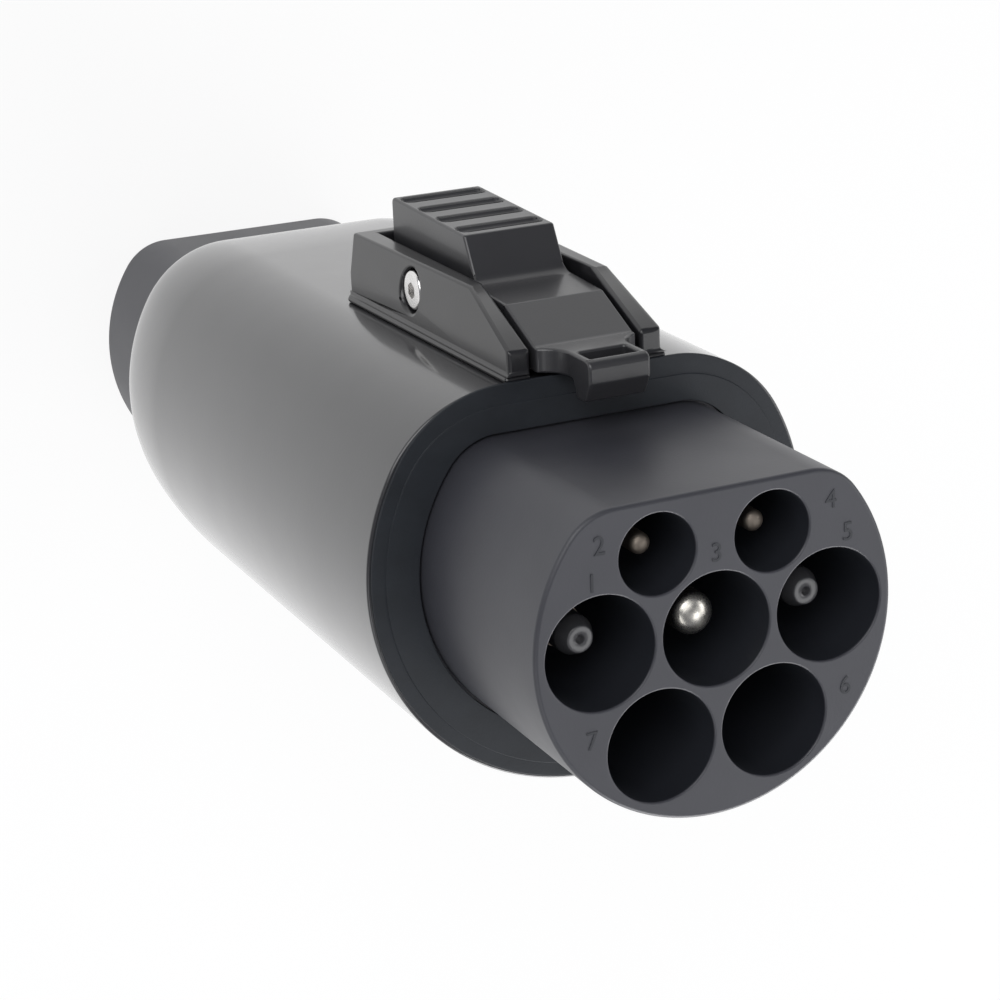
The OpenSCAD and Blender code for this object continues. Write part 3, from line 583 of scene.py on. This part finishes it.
class ADAPTER_OT_plug_nose(bpy.types.Operator):
    """Build the plug nose with its flange, contact block and seven cavities"""
    bl_idname = "adapter.plug_nose"
    bl_label = "Plug Nose"

    def execute(self, context):
        s = sizes(context)
        block = s.face_z - s.cavity_depth - BLOCK_TAIL
        flange_top = PLUG_SEAT_Z + FLANGE
        rim = s.wall + FLANGE_GAP
        rows = inset_rows(s.plug_r, s.plug_flat, s.plug_corner,
                          [(BLOCK_INSET, block), (BLOCK_INSET, PLUG_SEAT_Z)])
        rows += inset_rows(s.body_r, s.body_flat, s.body_corner,
                           [(rim, PLUG_SEAT_Z), (rim, flange_top)])
        rows += inset_rows(s.plug_r, s.plug_flat, s.plug_corner,
                           [(0, flange_top)] + edge_arc(0, s.face_z, s.nose_round, 1))
        nose = make("plug_nose", skin(d_rings(rows)))
        insert_hole = [(1.65, 0), (1.65, 8), (2.35, 8), (2.35, 15)]
        combine(nose, "DIFFERENCE", cavity_cutters(s, s.face_z, 1, insert_hole))
        finish(nose, "housing", ["plug_insulator"],
               [finish_of("nose_plastic"), finish_of("painted_shade_plastic")])
        # The cavities' walls and floors take the darker colour as painted shade
        paint(nose, 1, in_cavity(s, s.face_z))
        return {"FINISHED"}


class ADAPTER_OT_socket_nose(bpy.types.Operator):
    """Build the socket nose with its flange, contact block and seven cavities"""
    bl_idname = "adapter.socket_nose"
    bl_label = "Socket Nose"

    def execute(self, context):
        s = sizes(context)
        foot = s.body_foot_z - s.shoulder_len
        rim = s.shoulder_inset + s.wall + FLANGE_GAP
        path = edge_arc(0, 0, s.nose_round, -1)[::-1] + [(0, foot)]
        rows = inset_rows(s.socket_r, s.socket_flat, s.socket_corner, path)
        rows += inset_rows(s.body_r, s.body_flat, s.body_corner,
                           [(rim, foot), (rim, foot + FLANGE)])
        rows += inset_rows(s.socket_r, s.socket_flat, s.socket_corner,
                           [(BLOCK_INSET, foot + FLANGE),
                            (BLOCK_INSET, s.cavity_depth + BLOCK_TAIL)])
        nose = make("socket_nose", skin(d_rings(rows)))
        bolt_hole = [(2.85, 0), (2.85, 3), (1.65, 3), (1.65, 15)]
        combine(nose, "DIFFERENCE", cavity_cutters(s, 0, -1, bolt_hole))
        finish(nose, "housing", ["socket_insulator"],
               [finish_of("nose_plastic"), finish_of("painted_shade_plastic")])
        # The cavities' walls and floors take the darker colour as painted shade
        paint(nose, 1, in_cavity(s, 0))
        return {"FINISHED"}


class ADAPTER_OT_body(bpy.types.Operator):
    """Build the grip body: a D-shaped shell with a rounded shoulder"""
    bl_idname = "adapter.body"
    bl_label = "Body"

    def execute(self, context):
        s = sizes(context)
        foot, front = s.body_foot_z - s.shoulder_len, s.body_front_z
        # Superellipse: the shoulder's draw at a share u of its length is 1 - (1 - u^p)^(1 / p)
        power, rim_round, foot_break = 1.72, 0.4, 0.3
        u = np.sin(np.linspace(np.pi / 2, 0, 30))
        draw = 1 - (1 - u ** power) ** (1 / power)
        heights = s.body_foot_z - s.shoulder_len * u
        rows = [(s.body_r - s.shoulder_inset - foot_break,
                 s.body_flat - s.shoulder_flat_inset - foot_break,
                 s.body_corner - s.shoulder_inset - foot_break, foot)]
        rows += [(s.body_r - s.shoulder_inset * d, s.body_flat - s.shoulder_flat_inset * d,
                  s.body_corner - s.shoulder_inset * d, z) for d, z in zip(draw, heights)]
        rise = np.linspace(s.body_foot_z + 4, front - rim_round, 12)
        path = [(0, z) for z in rise] + edge_arc(0, front, rim_round, 1, 5)[1:]
        # Inside: a shelf of that inset holds the plug's flange, and another the socket's
        shelf, shelf_thick, thick_wall = 7.7, 3, 4.7
        step = s.body_foot_z + 1
        path += [(s.wall, front), (s.wall, PLUG_SEAT_Z), (shelf, PLUG_SEAT_Z),
                 (shelf, PLUG_SEAT_Z - shelf_thick), (s.wall, PLUG_SEAT_Z - shelf_thick),
                 (s.wall, step), (thick_wall, step), (thick_wall, foot + 7.4),
                 (shelf, foot + 7.4), (shelf, foot + 4.4), (thick_wall, foot + 4.4),
                 (thick_wall, foot)]
        rows += inset_rows(s.body_r, s.body_flat, s.body_corner, path)
        shell = make("grip_body", skin(d_rings(rows), wrap=True))
        top, inner, pivot_z = s.body_flat + 2, 20, s.face_z - s.pivot_back
        seat = turned([(SPRING_SEAT_R, s.body_flat - 1), (SPRING_SEAT_R, top)],
                      (0, 0, pivot_z - SPRING_ARM), (0, -1, 0), 40)
        bore = turned([(1.56, inner), (1.56, top)], (0, 0, pivot_z - PLUNGER_ARM), (0, -1, 0),
                      32)
        screws = [turned([(1.0, inner), (1.0, top)], (x, 0, z), (0, -1, 0), 16)
                  for x, z in bracket_screw_places(s)]
        combine(shell, "DIFFERENCE", joined(seat, bore, *screws))
        finish(shell, "housing", ["body_shell"], [finish_of("body_plastic")])
        return {"FINISHED"}


def bracket_screw_places(s):
    """(x, z) of the four screws that hold the bracket from inside the body."""
    return [(way * 10.4, s.face_z - back) for way in (1, -1) for back in (47.0, 86.0)]


def bracket_block(s):
    """The bracket before its bay is cut, through three sections: its sides stand straight to
    4.5 mm above the flat and lean in above that, and its front slants back to full height."""
    at_front, at_slant, at_rear = 36.3, 50.6, 91.7
    turn = (at_slant - at_front) / (at_rear - at_front)
    low, high = 4.5, s.cheek_rise
    points = []
    for back, b, t, h in ((at_front, 12.0, 12.0, low),
                          (at_slant, 12.0 + 0.9 * turn, 10.65 + 1.35 * turn, high),
                          (at_rear, 12.9, 12.0, high)):
        ring = [(-b, 0), (b, 0), (b, low), (t, h), (-t, h), (-b, low)]
        points += [(x, -(s.body_flat + up), s.face_z - back) for x, up in ring]
    faces = [[5, 2, 1, 0], [0, 1, 7, 6], [1, 2, 8, 7], [2, 9, 8], [2, 5, 10, 9], [5, 11, 10],
             [5, 0, 6, 11]]
    faces += [[6 + i, 6 + (i + 1) % 6, 12 + (i + 1) % 6, 12 + i] for i in range(6)]
    faces += [[12, 13, 14, 15, 16, 17]]
    # In the front section the two top corners fall on the knees, so they are left out
    keep = [i for i in range(18) if i not in (3, 4)]
    number = {old: new for new, old in enumerate(keep)}
    return outward((np.array(points)[keep], [[number[i] for i in face] for face in faces]))


class ADAPTER_OT_cheeks(bpy.types.Operator):
    """Build the latch bracket: cheeks beside the lever, the bridge behind it and the ledge"""
    bl_idname = "adapter.cheeks"
    bl_label = "Cheeks"

    def execute(self, context):
        s = sizes(context)
        face, flat = s.face_z, s.body_flat
        side, back = (1, 0, 0), (0, 0, -1)
        front_half, rear_half, start, end = 12.6, 13.8, 36.1, 91.3
        ledge_rise, bay_end = 1.1, 89.2
        plan = rounded([(-front_half, start), (front_half, start), (rear_half, end),
                        (-rear_half, end)], [0.5, 0.5, 0.7, 0.7], 5)
        cheeks = make("latch_cheeks", outward(prism(plan, (0, 0, face), side, back, -flat,
                                                    -(flat + ledge_rise))))
        combine(cheeks, "UNION", bracket_block(s))
        w = s.slot_half
        bay = outward(prism([(-w, 34), (w, 34), (w, bay_end), (-w, bay_end)], (0, 0, face), side,
                            back, -(flat - 2), -(flat + 20)))
        pivot = (0, -s.pivot_out, face - s.pivot_back)
        well_rows = [(3.3, 9.9), (3.3, 20)]
        bore = turned([(PIVOT_BORE_R, -20), (PIVOT_BORE_R, 20)], pivot, (1, 0, 0), 40)
        well = turned(well_rows, pivot, (1, 0, 0), 48)
        nut = turned(well_rows, pivot, (-1, 0, 0), 6)
        screws = [turned([(0.95, flat - 2), (0.95, 30.6)], (x, 0, z), (0, -1, 0), 16)
                  for x, z in bracket_screw_places(s)]
        combine(cheeks, "DIFFERENCE", bay, bore, joined(well, nut, *screws))
        # The bracket takes the darkened copy of the body's plastic as painted shade
        finish(cheeks, "housing", ["latch_bracket"],
               [finish_of("bracket_shade_plastic")], bevel=1.5 * s.edge)
        return {"FINISHED"}


class ADAPTER_OT_gasket(bpy.types.Operator):
    """Build the gasket: a thick ring in the body's mouth with a thin lip over its rim"""
    bl_idname = "adapter.gasket"
    bl_label = "Gasket"

    def execute(self, context):
        s = sizes(context)
        front = s.body_front_z
        lip = (s.body_r - 0.5, s.body_flat + 0.4, s.body_corner)
        ring = (s.body_r - 2.6, s.body_flat - 2.6, s.body_corner - 2.6)
        root = (s.plug_r + 0.4, s.plug_flat + 0.4, s.plug_corner + 0.4)

        def row(shape, inset, z):
            return tuple(v - inset for v in shape) + (z,)

        rows = [row(root, 0, front - 0.6), row(ring, 0, front - 0.6), row(ring, 0, front),
                row(lip, 0, front), row(lip, 0, front + 0.22), row(lip, 0.06, front + 0.34),
                row(lip, 0.2, front + 0.4), row(ring, -0.05, front + 0.4),
                row(ring, 0, front + 0.45), row(ring, 0.04, front + 0.56),
                row(ring, 0.14, front + 0.6), row(root, -0.14, front + 0.6),
                row(root, -0.04, front + 0.56), row(root, 0, front + 0.45)]
        gasket = make("gasket", skin(d_rings(rows), wrap=True))
        finish(gasket, "housing", ["front_gasket"], [finish_of("gasket_rubber")])
        return {"FINISHED"}


class ADAPTER_OT_lever(bpy.types.Operator):
    """Build the latch lever: button, slope, tongue and hook"""
    bl_idname = "adapter.lever"
    bl_label = "Latch Lever"

    def execute(self, context):
        s = sizes(context)
        flat, pivot = s.body_flat, s.pivot_back
        rear = pivot + 17.2
        # The button's front foot is an arc of this radius from low to high
        foot_r = 3.0
        low = np.array([flat + 9.07, pivot - 14.58])
        high = np.array([flat + 10.61, pivot - 12.12])
        half = (high - low) / 2
        reach = np.linalg.norm(half)
        normal = np.array([half[1], -half[0]]) / reach
        centre = low + half + math.sqrt(foot_r ** 2 - reach ** 2) * normal
        angles = [math.degrees(math.atan2(*(p - centre)[::-1])) for p in (low, high)]
        if angles[1] - angles[0] > 180:
            angles[1] -= 360
        if angles[1] - angles[0] < -180:
            angles[1] += 360
        scoop = arc(centre, foot_r, angles[0], angles[1], 12)
        # Side view in (out, back, corner radius), from the hook's tip over the top to the
        # button and back below
        corners = [(31.0, 25.9, 1.2), (31.0, 36.8, 2.0), (35.1, 45.8, 1.0)]
        corners += [(*p, 0) for p in scoop]
        corners += [(42.2, pivot - 9.3, 0.5), (43.1, rear, 0.8), (35.5, rear, 0.8),
                    (35.5, pivot + 7.5, 0.6), (28.7, pivot + 7.5, 0.6), (28.7, pivot, 0),
                    (27.5, pivot, 0), (27.4, pivot - PLUNGER_ARM, 0), (27.4, 31.1, 0.8),
                    (24.8, 30.1, 0.5), (24.8, 27.5, 0.8), (27.7, 25.9, 0.8)]
        side_view = rounded([(a, b) for a, b, _ in corners], [r for _, _, r in corners])
        face = s.face_z
        lever = make("latch_lever_piece", outward(prism(
            side_view, (0, 0, face), (0, -1, 0), (0, 0, -1), -s.lever_half, s.lever_half)))
        place, hub_r = (0, -s.pivot_out, face - pivot), 5.2
        hub = turned([(hub_r, -s.lever_half), (hub_r, s.lever_half)], place, (1, 0, 0), 64)
        # Plan view in (side, back): the hook flares to the tongue in a quarter circle
        h, w, b = s.hook_half, s.lever_half, s.button_half
        flare = 4.5
        reach = w - h
        turn = math.degrees(math.acos(1 - reach / flare))
        right = arc((h + flare, pivot - 37.7), flare, 180, 180 - turn, 8)
        plan = [(h, 24), *map(tuple, right), (w, pivot - 14.6), (b, pivot - 12.2), (b, rear + 2)]
        plan += [(-x, y) for x, y in plan[::-1]]
        column = outward(prism(plan, (0, 0, face), (1, 0, 0), (0, 0, -1), -60, -20))
        combine(lever, "UNION", hub)
        combine(lever, "INTERSECT", column)
        window = rounded([(-3.7, pivot - 42.4), (3.7, pivot - 42.4), (3.7, pivot - 38),
                          (-3.7, pivot - 38)], [0.5] * 4, 4)
        window = outward(prism(window, (0, 0, face), (1, 0, 0), (0, 0, -1), -(31.0 - 2.6), -60))
        spring_z = face - pivot - SPRING_ARM
        cup = turned([(SPRING_SEAT_R, 34), (SPRING_SEAT_R, 36.5)], (0, 0, spring_z), (0, -1, 0),
                     40)
        bore = turned([(PIVOT_BORE_R, -20), (PIVOT_BORE_R, 20)], place, (1, 0, 0), 40)
        tools = [window, cup, bore]
        # Grooves: lathe tools that lie across the button, sunk by depth into its sloping top,
        # with ends rounded to end_r
        groove_r, depth, groove_half, end_r = 1.9, 0.9, 6.6, 0.8
        t = np.linspace(0, np.pi / 2, 5)
        end = [(groove_r - end_r * (1 - math.sin(a)), -groove_half + end_r * (1 - math.cos(a)))
               for a in t]
        rows = end + [(r, -x) for r, x in end[::-1]]
        for i in range(s.grooves):
            back = pivot + 14.1 - i * 6.7
            top = flat + 15.7 + 0.9 * (back - pivot + 9.3) / 26.5
            tools.append(turned(rows, (0, -(top + groove_r - depth), face - back), (1, 0, 0), 64))
        combine(lever, "DIFFERENCE", *tools)
        finish(lever, "latch", ["latch_lever"], [finish_of("latch_plastic")],
               bevel=s.edge)
        # The spring is 11 mm long at rest and 8.5 mm long under the pressed button
        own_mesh(frame["nodes"]["latch_spring"])
        return {"FINISHED"}


class ADAPTER_OT_pivot_screw(bpy.types.Operator):
    """Build the pivot screw with its domed head and hexagonal recess"""
    bl_idname = "adapter.pivot_screw"
    bl_label = "Pivot Screw"

    def execute(self, context):
        s = sizes(context)
        place = (0, -s.pivot_out, s.face_z - s.pivot_back)
        t = np.linspace(0, np.pi / 2, 6)
        head_r, dome_at, dome = 3.0, 11.5, 0.5
        rows = [(2.0, -11.7), (2.0, 9.9), (head_r, 9.9), (head_r, dome_at)]
        rows += [(head_r - dome * (1 - math.cos(a)), dome_at + dome * math.sin(a)) for a in t[1:]]
        screw = make("pivot_screw", turned(rows, place, (1, 0, 0), 64))
        combine(screw, "DIFFERENCE", turned([(1.3, 10.8), (1.3, 12.5)], place, (1, 0, 0), 6))
        finish(screw, "housing", ["latch_pivot_screw"], [finish_of("stainless")])
        return {"FINISHED"}


def pin_rows(tip, r, dome, collar, barrel, core):
    """Side of a plug contact from its wire hole over its collar to its domed tip. The dome is a
    quarter of an ellipse: radius r sin t at depth tip + dome (1 - cos t)."""
    t = np.linspace(np.pi / 2, 0.02, 12)
    rows = [(0.02, 55.5), (core, 55.5), (core, 64.5), (barrel, 64.5), (barrel, 50), (collar, 50),
            (collar, 47), (r + 0.4, 47), (r + 0.4, 36), (r, 36)]
    return rows + [(r * math.sin(a), tip + dome * (1 - math.cos(a))) for a in t]


class ADAPTER_OT_contacts(bpy.types.Operator):
    """Build the earth and control contacts with domed tips, and the two insulating caps"""
    bl_idname = "adapter.contacts"
    bl_label = "Contacts"

    def execute(self, context):
        s = sizes(context)
        thick = pin_rows(tip=5.4, r=3.0, dome=1.6, collar=5.0, barrel=3.6, core=2.05)
        thin = pin_rows(tip=4.3, r=1.5, dome=1.0, collar=2.5, barrel=1.9, core=0.85)
        cap = [(0.02, 8.2), (1.85, 8.2), (1.85, 12), (2.8, 12), (2.8, 8.2), (2.74, 7.9),
               (1.96, 6.12), (1.84, 6.02), (1.74, 6), (0.8, 6), (0.68, 6.04), (0.6, 6.15),
               (0.55, 7), (0.02, 7)]
        side, down, metal_slot = CONTROL_SIDE, -CONTROL_OUT, "plated_contact"
        # The control contacts take the darkened plating as painted shade
        for name, node, x, y, rows, slot, look in (
                ("earth_contact", "plug_earth_pin", 0, 0, thick, metal_slot, metal_slot),
                ("proximity_contact", "plug_proximity_pin", side, down, thin, metal_slot,
                 "shaded_contact"),
                ("pilot_contact", "plug_pilot_pin", -side, down, thin, metal_slot,
                 "shaded_contact"),
                ("line_cap", "line_tip_cap", s.pitch, 0, cap, "cap_plastic", "cap_plastic"),
                ("neutral_cap", "neutral_tip_cap", -s.pitch, 0, cap, "cap_plastic",
                 "cap_plastic")):
            piece = make(name, outward(turned(rows, (x, y, s.face_z), (0, 0, -1), 48)))
            finish(piece, "housing", [node], [finish_of(look)])
        # The shanks behind the caps take the darkened plating as painted shade, so that no bright
        # line shows beside a cap
        for node in ("plug_line_pin", "plug_neutral_pin"):
            frame["nodes"][node].data.materials[0] = finish_of("shaded_contact")
        return {"FINISHED"}


class ADAPTER_OT_digits(bpy.types.Operator):
    """Mould a plain digit beside each cavity of the plug"""
    bl_idname = "adapter.digits"
    bl_label = "Digits"

    def execute(self, context):
        s = sizes(context)
        places = [(18.2, -9.8), (17.0, -14.7), (-0.1, -10.6), (-17.5, -14.8), (-20.1, -9.8),
                  (-19.7, 12.3), (18.9, 12.0)]
        shapes = []
        for number, (x, y) in enumerate(places, 1):
            text = bpy.data.curves.new("digit", "FONT")
            text.body, text.size, text.extrude = str(number), 1.0, 0.05
            text.align_x, text.align_y = "CENTER", "CENTER"
            holder = bpy.data.objects.new("digit", text)
            context.scene.collection.objects.link(holder)
            mesh = bpy.data.meshes.new_from_object(
                holder.evaluated_get(context.evaluated_depsgraph_get()))
            flat = np.empty(len(mesh.vertices) * 3)
            mesh.vertices.foreach_get("co", flat)
            flat = flat.reshape(-1, 3)
            flat[:, :2] *= s.digit_height / 0.7
            points = np.stack([x - flat[:, 0], y - flat[:, 1],
                               s.face_z + s.digit_relief * np.sign(flat[:, 2])], 1)
            shapes.append((points, [list(p.vertices) for p in mesh.polygons]))
            bpy.data.objects.remove(holder)
            bpy.data.curves.remove(text)
            bpy.data.meshes.remove(mesh)
        digits = make("cavity_digits", *shapes)
        # The digits take the darker colour as painted shade on their relief
        finish(digits, "housing", [], [finish_of("painted_shade_plastic")])
        return {"FINISHED"}


def softbox(name, place, aim, size, power):
    """Area lamp that looks at a point and isn't seen by the camera."""
    lamp = bpy.data.lights.new(name, "AREA")
    lamp.shape, lamp.size, lamp.size_y = "RECTANGLE", size[0], size[1]
    lamp.energy = power
    holder = bpy.data.objects.new(name, lamp)
    holder.location = place
    look = Vector(aim) - Vector(place)
    holder.rotation_euler = look.to_track_quat("-Z", "Y").to_euler()
    holder.visible_camera = False
    bpy.context.scene.collection.objects.link(holder)


class ADAPTER_OT_stage(bpy.types.Operator):
    """Set the pale floor, the soft studio light and the camera"""
    bl_idname = "adapter.stage"
    bl_label = "Stage"

    def execute(self, context):
        scene = context.scene
        scene.view_settings.view_transform = "Standard"
        points = np.array([(-4000.0, -4000, 0), (4000, -4000, 0), (4000, 4000, 0),
                           (-4000, 4000, 0)])
        floor = make("floor", (points, [[0, 1, 2, 3]]))
        material = bpy.data.materials.new("pale_floor")
        material.use_nodes = True
        tree = material.node_tree
        tree.nodes.clear()
        out, mix, lit, white, path, seen, either, share_white = (
            tree.nodes.new("ShaderNode" + kind) for kind in (
                "OutputMaterial", "MixShader", "BsdfDiffuse", "Emission", "LightPath", "Math",
                "Math", "Math"))
        lit.inputs["Color"].default_value = (0.85, 0.85, 0.85, 1)
        # Camera, glossy and transmission rays see this share of plain white, and the lit floor
        # with the object's shadow for the rest
        seen.operation = either.operation = "MAXIMUM"
        share_white.operation = "MULTIPLY"
        share_white.inputs[1].default_value = 0.88
        link = tree.links.new
        link(path.outputs["Is Camera Ray"], seen.inputs[0])
        link(path.outputs["Is Glossy Ray"], seen.inputs[1])
        link(seen.outputs[0], either.inputs[0])
        link(path.outputs["Is Transmission Ray"], either.inputs[1])
        link(either.outputs[0], share_white.inputs[0])
        link(share_white.outputs[0], mix.inputs[0])
        link(lit.outputs[0], mix.inputs[1])
        link(white.outputs[0], mix.inputs[2])
        link(mix.outputs[0], out.inputs[0])
        floor.data.materials.append(material)
        world = bpy.data.worlds.new("studio")
        world.use_nodes = True
        sky = world.node_tree.nodes["Background"]
        sky.inputs["Color"].default_value = (0.9, 0.92, 1, 1)
        sky.inputs["Strength"].default_value = 0.2
        scene.world = world
        # Each lamp: azimuth and elevation in degrees, size in metres, power in watts
        centre = (0, 0, 0.09)
        for name, turn, rise, size, power in (
                ("far_side_softbox", 118, 13, (1.6, 0.8), 25),
                ("near_side_softbox", 312, 38, (0.9, 0.8), 7.5),
                ("left_softbox", 180, 36, (0.8, 0.8), 4.2),
                ("right_softbox", 45, 38, (0.8, 0.8), 3.4),
                ("overhead_softbox", 300, 66, (0.8, 0.8), 2.4),
                ("tip_softbox", 141, 59, (0.34, 0.34), 1.0)):
            turn, rise = math.radians(turn), math.radians(rise)
            level = LAMP_REACH * math.cos(rise)
            place = (level * math.cos(turn), level * math.sin(turn),
                     centre[2] + LAMP_REACH * math.sin(rise))
            softbox(name, place, centre, size, power)
        camera = bpy.data.cameras.new("camera")
        camera.lens, camera.sensor_width, camera.sensor_fit = 98.58, 36, "HORIZONTAL"
        camera.clip_start = 0.01
        holder = bpy.data.objects.new("camera", camera)
        # The camera's right, up and back axes, then its place, as fitted to the photograph
        turn = Matrix([(-0.90407, 0.04052, 0.42544), (-0.17157, -0.94617, -0.27449),
                       (0.39142, -0.32115, 0.86236)]).transposed()
        holder.matrix_world = Matrix.Translation((0.16406, -0.13301, 0.47310)) @ turn.to_4x4()
        scene.collection.objects.link(holder)
        scene.camera = holder
        return {"FINISHED"}


class ADAPTER_PT_panel(bpy.types.Panel):
    """Lists the adapter's pieces"""
    bl_idname = "ADAPTER_PT_panel"
    bl_label = "Charging Adapter"
    bl_space_type = "VIEW_3D"
    bl_region_type = "UI"
    bl_category = "Adapter"

    def draw(self, context):
        for operator in OPERATORS:
            self.layout.operator(operator.bl_idname)
        for group in (context.scene.adapter_sizes, context.scene.adapter_finishes):
            for name in group.bl_rna.properties.keys():
                if name not in ("rna_type", "name"):
                    self.layout.prop(group, name)


OPERATORS = (ADAPTER_OT_finishes, ADAPTER_OT_body, ADAPTER_OT_cheeks, ADAPTER_OT_plug_nose,
             ADAPTER_OT_socket_nose, ADAPTER_OT_gasket, ADAPTER_OT_lever, ADAPTER_OT_pivot_screw,
             ADAPTER_OT_contacts, ADAPTER_OT_digits, ADAPTER_OT_stage)
CLASSES = (AdapterSizes, AdapterFinishes) + OPERATORS + (ADAPTER_PT_panel,)


def register():
    for cls in CLASSES:
        bpy.utils.register_class(cls)
    bpy.types.Scene.adapter_sizes = PointerProperty(type=AdapterSizes)
    bpy.types.Scene.adapter_finishes = PointerProperty(type=AdapterFinishes)


def unregister():
    del bpy.types.Scene.adapter_finishes
    del bpy.types.Scene.adapter_sizes
    for cls in reversed(CLASSES):
        bpy.utils.unregister_class(cls)


def main():
    """Builds every piece and the stage."""
    register()
    for operator in OPERATORS:
        group, name = operator.bl_idname.split(".")
        getattr(getattr(bpy.ops, group), name)()
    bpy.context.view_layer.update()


if __name__ == "__main__":
    main()
